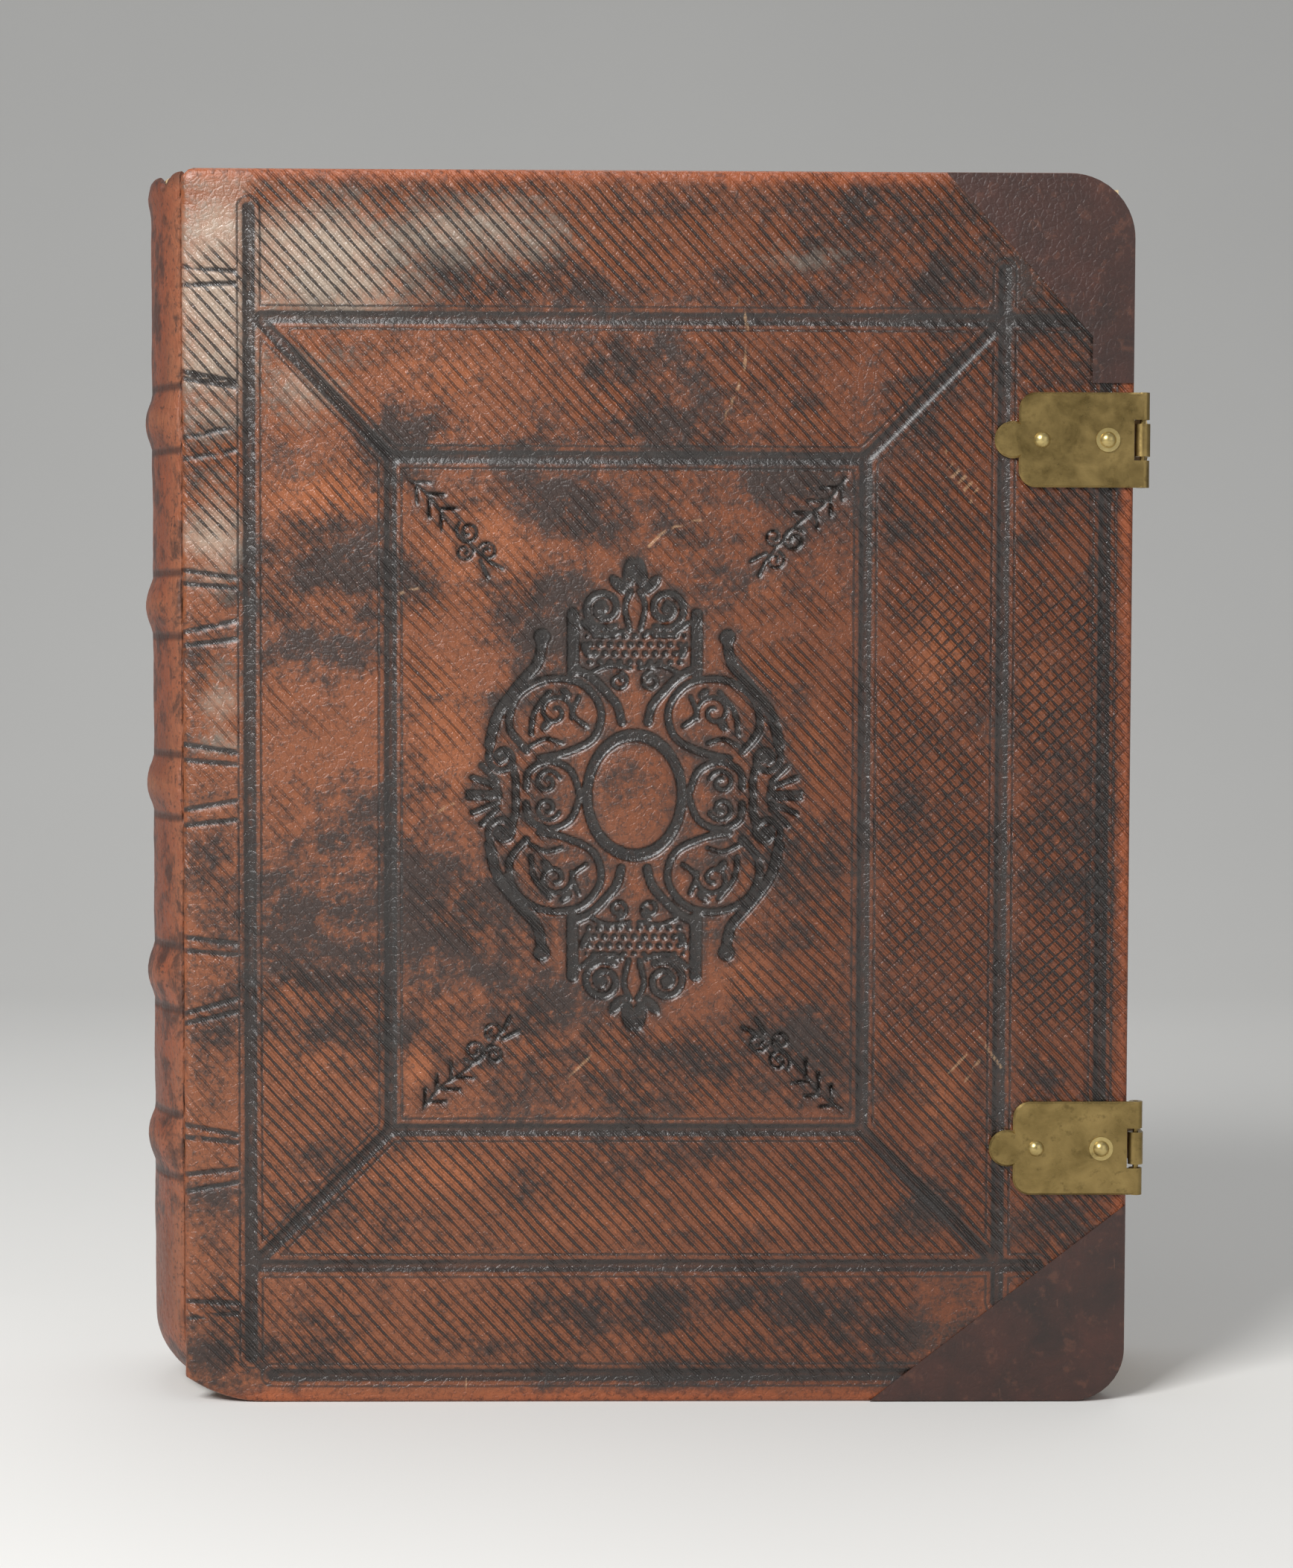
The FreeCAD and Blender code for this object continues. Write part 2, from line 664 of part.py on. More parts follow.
def ribbon(start, end, width, through=None):
    """Return a flat face of constant width along a line, or an arc through a third point."""
    start = VEC(*start, 0)
    end = VEC(*end, 0)
    if not through:
        side = VEC(start.y - end.y, end.x - start.x, 0).normalize() * (width / 2)
        return Part.Face(Part.makePolygon([start + side, start - side, end - side, end + side,
                                           start + side]))
    through = VEC(*through, 0)
    centre = Part.Arc(start, through, end).toShape().Curve.Center
    sides = []
    for share in (-0.5, 0.5):
        sides.append([point + (point - centre).normalize() * (width * share)
                      for point in (start, through, end)])
    near, far = sides
    return Part.Face(Part.Wire([
        Part.Arc(*near).toShape(),
        Part.LineSegment(near[2], far[2]).toShape(),
        Part.Arc(far[2], far[1], far[0]).toShape(),
        Part.LineSegment(far[0], near[0]).toShape(),
    ]))


def leaf(centre, half_length, half_width, turned):
    """Return a flat pointed leaf, turned by an angle in degrees."""
    face = Part.Face(Part.makePolygon([VEC(-half_length, 0, 0), VEC(0, -half_width, 0),
                                       VEC(half_length, 0, 0), VEC(0, half_width, 0),
                                       VEC(-half_length, 0, 0)]))
    face.rotate(VEC(0, 0, 0), VEC(0, 0, 1), turned)
    face.translate(VEC(*centre, 0))
    return face


def oval(centre, half_width, half_height, turned=0.0):
    """Return a flat elliptical face, turned by an angle in degrees."""
    long_side = max(half_width, half_height)
    short_side = min(half_width, half_height)
    curve = Part.Ellipse(VEC(0, 0, 0), long_side, short_side)
    face = Part.Face(Part.Wire([curve.toShape()]))
    quarter = 0.0 if half_width >= half_height else 90.0
    face.rotate(VEC(0, 0, 0), VEC(0, 0, 1), quarter + turned)
    face.translate(VEC(*centre, 0))
    return face


def ring(centre, half_width, half_height, width):
    """Return a flat elliptical ring whose middle line has the given half sizes."""
    outer = oval(centre, half_width + width / 2, half_height + width / 2)
    return outer.cut(oval(centre, half_width - width / 2, half_height - width / 2))


def fillet_rule(start, end, fine_sides=(-1, 1)):
    """Return a broad rule with fine lines beside it."""
    faces = [ribbon(start, end, value("Sizes.groove_width"))]
    along = VEC(end[0] - start[0], end[1] - start[1], 0).normalize()
    for side in fine_sides:
        shift = VEC(-along.y, along.x, 0) * value("Sizes.fine_offset") * side
        faces.append(ribbon((start[0] + shift.x, start[1] + shift.y),
                            (end[0] + shift.x, end[1] + shift.y), value("Sizes.fine_width")))
    return faces


def frame_rules():
    """Return the rules of the outer panel, the inner panel and the mitres between them."""
    left = value("Sizes.panel_joint_side")
    right = value("Sizes.cover_width - Sizes.panel_fore_side")
    foot = value("Sizes.panel_tail_side")
    top = value("Sizes.cover_height - Sizes.panel_head_side")
    inner_left = value("Sizes.inner_joint_side")
    inner_right = value("Sizes.cover_width - Sizes.inner_fore_side")
    inner_foot = value("Sizes.inner_tail_side")
    inner_top = value("Sizes.cover_height - Sizes.inner_head_side")
    border_foot = value("Sizes.border_tail")
    border_top = value("Sizes.cover_height - Sizes.border_head")
    border_right = value("Sizes.cover_width - Sizes.border_fore")
    fine = value("Sizes.fine_offset")
    faces = fillet_rule((left, border_foot + fine), (left, border_top - fine), (-1,))
    faces += fillet_rule((right, foot - border_foot), (right, top + border_foot))
    faces += fillet_rule((left + fine, top), (right, top))
    faces += fillet_rule((left + fine, foot), (right, foot))
    faces += fillet_rule((inner_left, inner_foot), (inner_left, inner_top), (-1,))
    faces += fillet_rule((inner_right, inner_foot), (inner_right, inner_top), (1,))
    faces += fillet_rule((inner_left, inner_top), (inner_right, inner_top), (-1,))
    faces += fillet_rule((inner_left, inner_foot), (inner_right, inner_foot), (1,))
    for start, end in (((left + fine, top), (inner_left, inner_top)),
                       ((right, top), (inner_right, inner_top)),
                       ((left + fine, foot + fine), (inner_left, inner_foot)),
                       ((right, foot), (inner_right, inner_foot))):
        faces += fillet_rule(start, end)
    faces.append(ribbon((left, border_top), (right, border_top), value("Sizes.fine_width")))
    faces.append(ribbon((left, border_foot), (right, border_foot), value("Sizes.fine_width")))
    faces.append(ribbon((border_right, foot), (border_right, top), value("Sizes.groove_width")))
    return faces


def tie_lines():
    """Return the short lines that run from each raised band on to the cover."""
    start = value("Sizes.leather_thickness")
    end = value("Sizes.tie_length")
    spread = value("Sizes.band_breadth / 2")
    narrowing = value("Sizes.tie_narrowing")
    faces = []
    for band in BANDS:
        height = value(f"Sizes.{band}")
        for side in (-1, 1):
            for near in (spread, spread - value("Sizes.tie_spread") / 2):
                faces.append(ribbon((start, height + side * near),
                                    (end, height + side * (near - narrowing)),
                                    value("Sizes.fine_width") * 1.5))
    return faces


def strapwork(place, lean):
    """Return one quarter of the centre ornament.

    Args:
        place: function that turns a point of the drawn quarter into one on the cover.
        lean: 1 or -1, the way that tilted ovals lean in this quarter.
    """
    strap = value("Sizes.groove_width")
    faces = []
    for start, end, through, share in (
            ((23.0, 42.0), (38.5, 11.0), (33.5, 29.0), 1.4),
            ((38.5, 11.0), (31.5, 6.5), (35.5, 4.8), 1.0),
            ((7.5, 43.0), (2.5, 51.0), (12.4, 50.0), 1.0),
            ((16.0, 33.0), (16.0, 48.0), None, 1.3),
            ((16.0, 33.0), (2.5, 22.5), (11.0, 29.5), 1.2),
            ((10.0, 24.0), (34.0, 9.0), (31.0, 29.5), 1.0),
            ((14.0, 0.5), (25.0, 7.5), (17.0, 7.0), 1.0),
            ((24.0, 20.0), (28.0, 13.0), (29.5, 18.0), 1.0)):
        middle = place(through) if through else None
        faces.append(ribbon(place(start), place(end), strap * share, through=middle))
    for centre, half_width, half_height, tilt in (
            ((39.2, 3.6), 2.4, 4.4, 8.0),
            ((4.0, 37.5), 3.0, 3.6, -30.0),
            ((24.0, 40.0), 1.7, 1.7, 0.0),
            ((2.4, 56.5), 2.0, 4.2, -18.0)):
        faces.append(oval(place(centre), half_width, half_height, tilt * lean))
    return faces


def centre_ornament():
    """Return the strapwork ornament in the middle of the inner panel."""
    middle = (value("(Sizes.inner_joint_side + Sizes.cover_width - Sizes.inner_fore_side) / 2"
                    " + Sizes.ornament_shift"),
              value("(Sizes.inner_tail_side + Sizes.cover_height - Sizes.inner_head_side) / 2"))
    drawn_half_width = 42.5
    drawn_half_height = 61.0
    half_panel_width = value("(Sizes.cover_width - Sizes.inner_fore_side"
                             " - Sizes.inner_joint_side) / 2")
    half_panel_height = value("(Sizes.cover_height - Sizes.inner_head_side"
                              " - Sizes.inner_tail_side) / 2")
    wide = (half_panel_width - value("Sizes.ornament_side_margin")) / drawn_half_width
    tall = (half_panel_height - value("Sizes.ornament_end_margin")) / drawn_half_height
    faces = [ring(middle, 12.2 * wide, 15.5 * tall, value("Sizes.groove_width"))]
    for across in (-1, 1):
        for upright in (-1, 1):
            def place(point, across=across * wide, upright=upright * tall):
                return (middle[0] + across * point[0], middle[1] + upright * point[1])
            faces += strapwork(place, across * upright)
    return faces


def sprigs():
    """Return the four leafy sprigs that point from the inner panel's corners to its middle."""
    inset = value("Sizes.sprig_inset")
    left = value("Sizes.inner_joint_side") + inset
    right = value("Sizes.cover_width - Sizes.inner_fore_side") - inset
    foot = value("Sizes.inner_tail_side") + inset
    top = value("Sizes.cover_height - Sizes.inner_head_side") - inset
    length = value("Sizes.sprig_length")
    faces = []
    for corner, turned in (((left, top), -45.0), ((right, top), -135.0),
                           ((left, foot), 45.0), ((right, foot), 135.0)):
        group = [ribbon((0.0, 0.0), (length, 0.0), value("Sizes.fine_width") * 2)]
        for share in (0.25, 0.45, 0.65, 0.85):
            for side in (-1, 1):
                reach = 2.6 * side
                group.append(leaf((length * share, reach), 2.8, 1.3, -35.0 * side))
        for face in group:
            face.rotate(VEC(0, 0, 0), VEC(0, 0, 1), turned)
            face.translate(VEC(*corner, 0))
        faces += group
    return faces


def tooled_leather(cover, blank, faces):
    """Press the tooling into a cover's leather and place the finished piece."""
    depth = value("Sizes.groove_depth")
    way = -1 if cover.front else 1
    floor = VEC(0, way * (value("Places.cover_face") - depth), 0)
    lift = VEC(0, way * (depth + value("Sizes.leather_thickness")), 0)
    strokes = []
    for face in faces:
        face.rotate(VEC(0, 0, 0), VEC(1, 0, 0), 90)
        face.translate(floor)
        strokes += face.extrude(lift).Solids
    tool = doc.addObject("Part::Feature", f"{cover.name}_tooling")
    tool.Shape = Part.makeCompound(strokes)
    leather = doc.addObject("Part::Cut", f"{cover.name}_leather")
    leather.Label = f"{cover.name}_leather"
    leather.Base = blank
    leather.Tool = tool
    leather.setExpression("Placement.Base.x", "-Places.middle")
    subparts.append(leather)


# Corner patches


def upper_corner_patch(cover):
    """Make the plain leather patch over the front cover's head corner."""
    body = new_body("upper_corner_patch")
    edge = "Sizes.cover_width - Sizes.patch_margin"
    top = "Sizes.cover_height - Sizes.patch_margin"
    radius = "Sizes.head_corner_radius - Sizes.patch_margin"
    step = "Sizes.cover_width - Sizes.head_patch_step"
    patch = cover.sketch(body, "Places.cover_face")
    outline(patch, [
        ("Sizes.cover_width - Sizes.head_patch_length", top),
        (step, "Sizes.cover_height - Sizes.head_patch_edge"),
        (step, "Sizes.cover_height - Sizes.head_patch_drop"),
        (edge, "Sizes.cover_height - Sizes.head_patch_drop"),
        (edge, "Sizes.cover_height - Sizes.head_corner_radius"),
        ("Sizes.cover_width - Sizes.head_corner_radius", top),
    ], {4: radius})
    cover.pad(body, patch, "Sizes.patch_thickness")


def lower_corner_patch(cover):
    """Make the plain leather patch over the front cover's tail corner."""
    body = new_body("lower_corner_patch")
    edge = "Sizes.cover_width - Sizes.patch_margin"
    foot = "Sizes.patch_margin"
    radius = "Sizes.tail_corner_radius - Sizes.patch_margin"
    patch = cover.sketch(body, "Places.cover_face")
    outline(patch, [
        ("Sizes.cover_width - Sizes.tail_patch_length", foot),
        ("Sizes.cover_width - Sizes.tail_corner_radius", foot),
        (edge, "Sizes.tail_corner_radius"),
        (edge, "Sizes.tail_patch_rise"),
    ], {1: radius})
    cover.pad(body, patch, "Sizes.patch_thickness")


# Brass clasps


def plate(cover, label, row):
    """Make a brass plate: a lobed leaf on the cover whose end is rolled round a pin."""
    body = new_body(label)
    body.setExpression("Placement.Base.z", row)
    half = "Sizes.plate_breadth / 2"
    start = "Places.plate_start"
    corner = "Sizes.plate_corner"
    leaf = cover.sketch(body, "Places.cover_face")
    outline(leaf, [
        ("Places.pin_reach", f"-{half}"),
        ("Places.pin_reach", half),
        (f"{start} + {corner}", half),
        (start, f"{half} - {corner}"),
        (start, "Places.lobe_rise"),
        (start, "-Places.lobe_rise"),
        (start, f"{corner} - {half}"),
        (f"{start} + {corner}", f"-{half}"),
    ], {2: corner, 4: "Sizes.lobe_radius", 6: corner}, wide=(4,))
    sheet = cover.pad(body, leaf, "Sizes.plate_thickness")
    doc.recompute()
    bevel_leaf(body, sheet)
    depth = "-Places.pin_depth" if cover.front else "Places.pin_depth"
    ear = sketch_on(body, "XY_Plane")
    circle(ear, "Places.pin_reach", depth, "Sizes.ear_diameter / 2")
    pad(body, ear, "Sizes.plate_breadth", midplane=True)
    notch = cover.sketch(body, "Places.plate_face")
    reach = "Places.pin_reach + Sizes.ear_diameter"
    outline(notch, [
        ("Places.notch_start", "-Sizes.notch_breadth / 2"),
        (reach, "-Sizes.notch_breadth / 2"),
        (reach, "Sizes.notch_breadth / 2"),
        ("Places.notch_start", "Sizes.notch_breadth / 2"),
    ])
    pocket(body, notch, reversed_way=not cover.front)
    bore = sketch_on(body, "XY_Plane")
    circle(bore, "Places.pin_reach", depth, "Sizes.pin_diameter / 2 + Sizes.pin_seat")
    pocket(body, bore, "Sizes.plate_breadth * 2", midplane=True)
    body.Tip = cover.drill(body, ["0 * Sizes.plate_breadth"])


def bevel_leaf(body, sheet):
    """Bevel the outer rim of a plate's leaf, apart from the side that is rolled."""
    face = value("Places.plate_face")
    rolled = value("Places.pin_reach")
    names = []
    for number, edge in enumerate(sheet.Shape.Edges, start=1):
        box = edge.BoundBox
        depth = max(abs(box.YMin), abs(box.YMax))
        on_face = abs(depth - face) < 1e-4 and box.YLength < 1e-4
        if on_face and box.XMin < rolled - 1e-4:
            names.append(f"Edge{number}")
    bevel = body.newObject("PartDesign::Chamfer", "Bevel")
    bevel.Base = (sheet, names)
    bevel.setExpression("Size", "Sizes.plate_chamfer")


def pin(cover, label, row):
    """Make the pin that runs through a plate's rolled ears."""
    body = new_body(label)
    body.setExpression("Placement.Base.z", row)
    section = sketch_on(body, "XY_Plane")
    depth = "-Places.pin_depth" if cover.front else "Places.pin_depth"
    circle(section, "Places.pin_reach", depth, "Sizes.pin_diameter / 2")
    pad(body, section, "Sizes.plate_breadth - 2 * Sizes.pin_margin", midplane=True)


def rivet(cover, label, reach, row, collar):
    """Make a domed rivet, with or without a collar, through plate, leather and board."""
    body = new_body(label)
    turned = 90 if cover.front else -90
    body.Placement = FreeCAD.Placement(VEC(0, 0, 0), FreeCAD.Rotation(VEC(1, 0, 0), turned))
    body.setExpression("Placement.Base.x", f"{reach} - Places.middle")
    body.setExpression("Placement.Base.y",
                       "-Places.plate_face" if cover.front else "Places.plate_face")
    body.setExpression("Placement.Base.z", row)
    shank = "Sizes.rivet_shank_diameter / 2"
    head = "Sizes.rivet_head_diameter / 2"
    base = "Sizes.rivet_collar_thickness" if collar else "0 * Sizes.rivet_collar_thickness"
    corners = [
        ("0 * Sizes.rivet_shank_diameter", "-Places.rivet_length"),
        (shank, "-Places.rivet_length"),
        (shank, "0 * Places.rivet_length"),
    ]
    if collar:
        corners.append(("Sizes.rivet_collar_diameter / 2", "0 * Places.rivet_length"))
        corners.append(("Sizes.rivet_collar_diameter / 2", base))
    corners.append((head, base))
    dome = {len(corners) - 1: f"(({head})^2 + Sizes.rivet_head_rise^2)"
                              " / (2 * Sizes.rivet_head_rise)"}
    corners.append(("0 * Sizes.rivet_shank_diameter", f"{base} + Sizes.rivet_head_rise"))
    profile = sketch_on(body, "XZ_Plane")
    outline(profile, corners, dome)
    turn(body, profile)


def clasp_arm(label, row):
    """Make a clasp's arm: a knuckle round the pin, a strap and a lip that hooks the bar."""
    body = new_body(label)
    body.Placement = FreeCAD.Placement(VEC(0, 0, 0), FreeCAD.Rotation(VEC(0, 0, 1), -1))
    body.setExpression("Placement.Base.x", "Places.pin_reach - Places.middle")
    body.setExpression("Placement.Base.y", "-Places.pin_depth")
    body.setExpression("Placement.Base.z", row)
    body.setExpression("Placement.Rotation.Angle", "-Sizes.rest_angle")
    section = sketch_on(body, "XY_Plane")
    outline(section, [
        ("Places.arm_inner", "0 * Places.lip_outer"),
        ("Places.arm_outer", "0 * Places.lip_outer"),
        ("Places.arm_outer", "Places.lip_outer"),
        ("-Sizes.lip_overlap", "Places.lip_outer"),
        ("-Sizes.lip_overlap", "Places.lip_inner"),
        ("Places.arm_inner", "Places.lip_inner"),
    ])
    pad(body, section, "Sizes.arm_breadth", midplane=True)
    shape_strap(body)
    knuckle = sketch_on(body, "XY_Plane")
    circle(knuckle, "0 * Places.arm_outer", "0 * Places.arm_outer", "Places.arm_outer")
    pad(body, knuckle, "Sizes.knuckle_breadth", midplane=True)
    bore = sketch_on(body, "XY_Plane")
    circle(bore, "0 * Places.arm_outer", "0 * Places.arm_outer",
           "Sizes.pin_diameter / 2 + Sizes.pin_play")
    body.Tip = pocket(body, bore, "Sizes.arm_breadth * 2", midplane=True)


def shape_strap(body):
    """Cut the strap's corners away so that both ends pass between the plates' ears."""
    neck = "Sizes.knuckle_breadth / 2"
    broad = "Sizes.arm_breadth / 2"
    clear = "Sizes.arm_breadth"
    near = "Sizes.arm_taper_start"
    far = "Places.lip_outer - Sizes.arm_taper_start - 2 * Sizes.lip_thickness"
    cut = sketch_on(body, "YZ_Plane")
    for way in ("", "-"):
        outline(cut, [
            (f"-{near}", f"{way}({neck})"),
            (near, f"{way}({neck})"),
            (f"{near} + Sizes.arm_taper", f"{way}({broad})"),
            (f"{near} + Sizes.arm_taper", f"{way}({clear})"),
            (f"-{near}", f"{way}({clear})"),
        ])
        outline(cut, [
            (f"{far} - Sizes.arm_taper", f"{way}({broad})"),
            (far, f"{way}({neck})"),
            (f"Places.lip_outer + {near}", f"{way}({neck})"),
            (f"Places.lip_outer + {near}", f"{way}({clear})"),
            (f"{far} - Sizes.arm_taper", f"{way}({clear})"),
        ])
    pocket(body, cut, "Sizes.arm_breadth * 2", midplane=True)


def build():
    """Make every sub-part in order."""
    fill_sheet()
    fill_places()
    text_block()
    spine_linings()
    sewing_cords()
    endbands()
    spine_leather()
    front = Cover("front")
    back = Cover("back")
    for cover in (front, back):
        board(cover)
        pastedown(cover)
    tooled_leather(front, leather_blank(front),
                   frame_rules() + tie_lines() + centre_ornament() + sprigs())
    tooled_leather(back, leather_blank(back), frame_rules() + tie_lines())
    upper_corner_patch(front)
    lower_corner_patch(front)
    for name, row in CLASPS.items():
        for cover, fitting, rod in ((front, "clasp_plate", "hinge_pin"),
                                    (back, "catch_plate", "catch_bar")):
            plate(cover, f"{name}_{fitting}", row)
            pin(cover, f"{name}_{rod}", row)
            rivet(cover, f"{name}_{fitting}_inner_rivet", "Places.inner_rivet", row, False)
            rivet(cover, f"{name}_{fitting}_outer_rivet", "Places.outer_rivet", row, True)
        clasp_arm(f"{name}_clasp_arm", row)
    doc.recompute()


def check():
    """Stop with a message if any object failed or any sub-part has a bad shape."""
    for item in doc.Objects:
        if "Invalid" in item.State or "Error" in item.State:
            raise RuntimeError(f"{item.Label} is {item.State}")
    for item in subparts:
        shape = item.Shape
        if shape.isNull() or not shape.isValid() or not shape.Solids:
            raise RuntimeError(f"{item.Label} has a bad shape")


def export():
    """Write each sub-part's shape to its own file."""
    os.makedirs("parts", exist_ok=True)
    for item in subparts:
        item.Shape.exportStep(f"parts/{item.Label}.step")


build()
check()
export()
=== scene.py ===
"""Antique leather-bound book with raised bands, blind tooling and two brass clasps.

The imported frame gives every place. Each sub-assembly below is a class that holds its sizes in
millimetres, models its pieces and dresses them with procedural finishes.
"""
from __future__ import annotations

import json
import logging
import math
from dataclasses import dataclass
from enum import Enum
from typing import Callable, Iterable, Sequence

import bmesh
import bpy
import numpy as np
from mathutils import Matrix, Vector, noise


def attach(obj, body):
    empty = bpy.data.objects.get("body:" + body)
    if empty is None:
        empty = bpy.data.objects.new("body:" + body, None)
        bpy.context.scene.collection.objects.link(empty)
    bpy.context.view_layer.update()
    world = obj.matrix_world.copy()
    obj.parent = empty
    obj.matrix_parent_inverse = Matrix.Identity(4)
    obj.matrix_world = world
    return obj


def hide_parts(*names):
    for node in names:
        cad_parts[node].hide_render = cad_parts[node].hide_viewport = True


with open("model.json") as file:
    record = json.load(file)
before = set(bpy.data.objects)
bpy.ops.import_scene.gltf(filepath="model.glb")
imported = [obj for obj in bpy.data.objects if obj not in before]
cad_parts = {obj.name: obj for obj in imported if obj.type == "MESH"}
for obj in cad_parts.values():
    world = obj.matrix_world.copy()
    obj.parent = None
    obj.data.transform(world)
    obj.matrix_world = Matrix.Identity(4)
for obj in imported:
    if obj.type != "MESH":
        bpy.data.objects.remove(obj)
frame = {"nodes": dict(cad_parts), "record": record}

LOG = logging.getLogger("book")
MM = 0.001
JOINT_LINE = -118.869
Colour = tuple[float, float, float]
Point = tuple[float, float]


class Side(Enum):
    """The two covers, by the sign of the outward Y direction."""

    FRONT = -1.0
    BACK = 1.0


def linear(level: int) -> float:
    """Return a display level from 0 to 255 as a linear share."""
    share = level / 255.0
    return share / 12.92 if share <= 0.04045 else ((share + 0.055) / 1.055) ** 2.4


def tint(red: int, green: int, blue: int) -> Colour:
    """Return a linear colour for the shader from eight-bit display values."""
    return linear(red), linear(green), linear(blue)


# Shader building


class Signal:
    """One socket of a shader, on which Python's operators add Math nodes."""

    def __init__(self, graph: Graph, socket: bpy.types.NodeSocket) -> None:
        """Hold a socket and the graph that it belongs to."""
        self.graph = graph
        self.socket = socket

    def math(self, operation: str, *others: Signal | float, clamp: bool = False) -> Signal:
        """Add a Math node on this signal.

        Args:
            operation: the node's operation.
            others: the second and third operands.
            clamp: whether the result is kept between 0 and 1.

        Returns:
            The node's result.
        """
        settings = {"operation": operation, "use_clamp": clamp}
        return self.graph.node("ShaderNodeMath", settings, dict(enumerate((self, *others))))

    def __add__(self, other: Signal | float) -> Signal:
        """Return the sum."""
        return self.math("ADD", other)

    def __radd__(self, other: float) -> Signal:
        """Return the sum with a number on the left."""
        return self.math("ADD", other)

    def __sub__(self, other: Signal | float) -> Signal:
        """Return the difference."""
        return self.math("SUBTRACT", other)

    def __rsub__(self, other: float) -> Signal:
        """Return a number less this signal."""
        return self.math("MULTIPLY", -1.0).math("ADD", other)

    def __mul__(self, other: Signal | float) -> Signal:
        """Return the product."""
        return self.math("MULTIPLY", other)

    def __truediv__(self, other: float) -> Signal:
        """Return this signal divided by a number."""
        return self.math("DIVIDE", other)

    def clamp(self) -> Signal:
        """Return this signal kept between 0 and 1."""
        return self.math("ADD", 0.0, clamp=True)

    def smooth(self, low: float, high: float) -> Signal:
        """Add a smooth step.

        Args:
            low: where the step is 0; it may lie above high, and the step then falls.
            high: where the step is 1.

        Returns:
            The step, from 0 to 1.
        """
        start, end, first, last = low, high, 0.0, 1.0
        if low > high:
            start, end, first, last = high, low, 1.0, 0.0
        return self.graph.node("ShaderNodeMapRange", {"interpolation_type": "SMOOTHSTEP"},
                               {0: self, 1: start, 2: end, 3: first, 4: last})

    def curve(self, stops: Sequence[Point]) -> Signal:
        """Return this signal passed through straight runs between points.

        Args:
            stops: pairs of input and output; the inputs rise, and all lie from 0 to 1.

        Returns:
            The output as a plain number.
        """
        greys = [(place, (level, level, level)) for place, level in stops]
        return self.graph.node("ShaderNodeValToRGB", {"stops": greys}, {0: self})


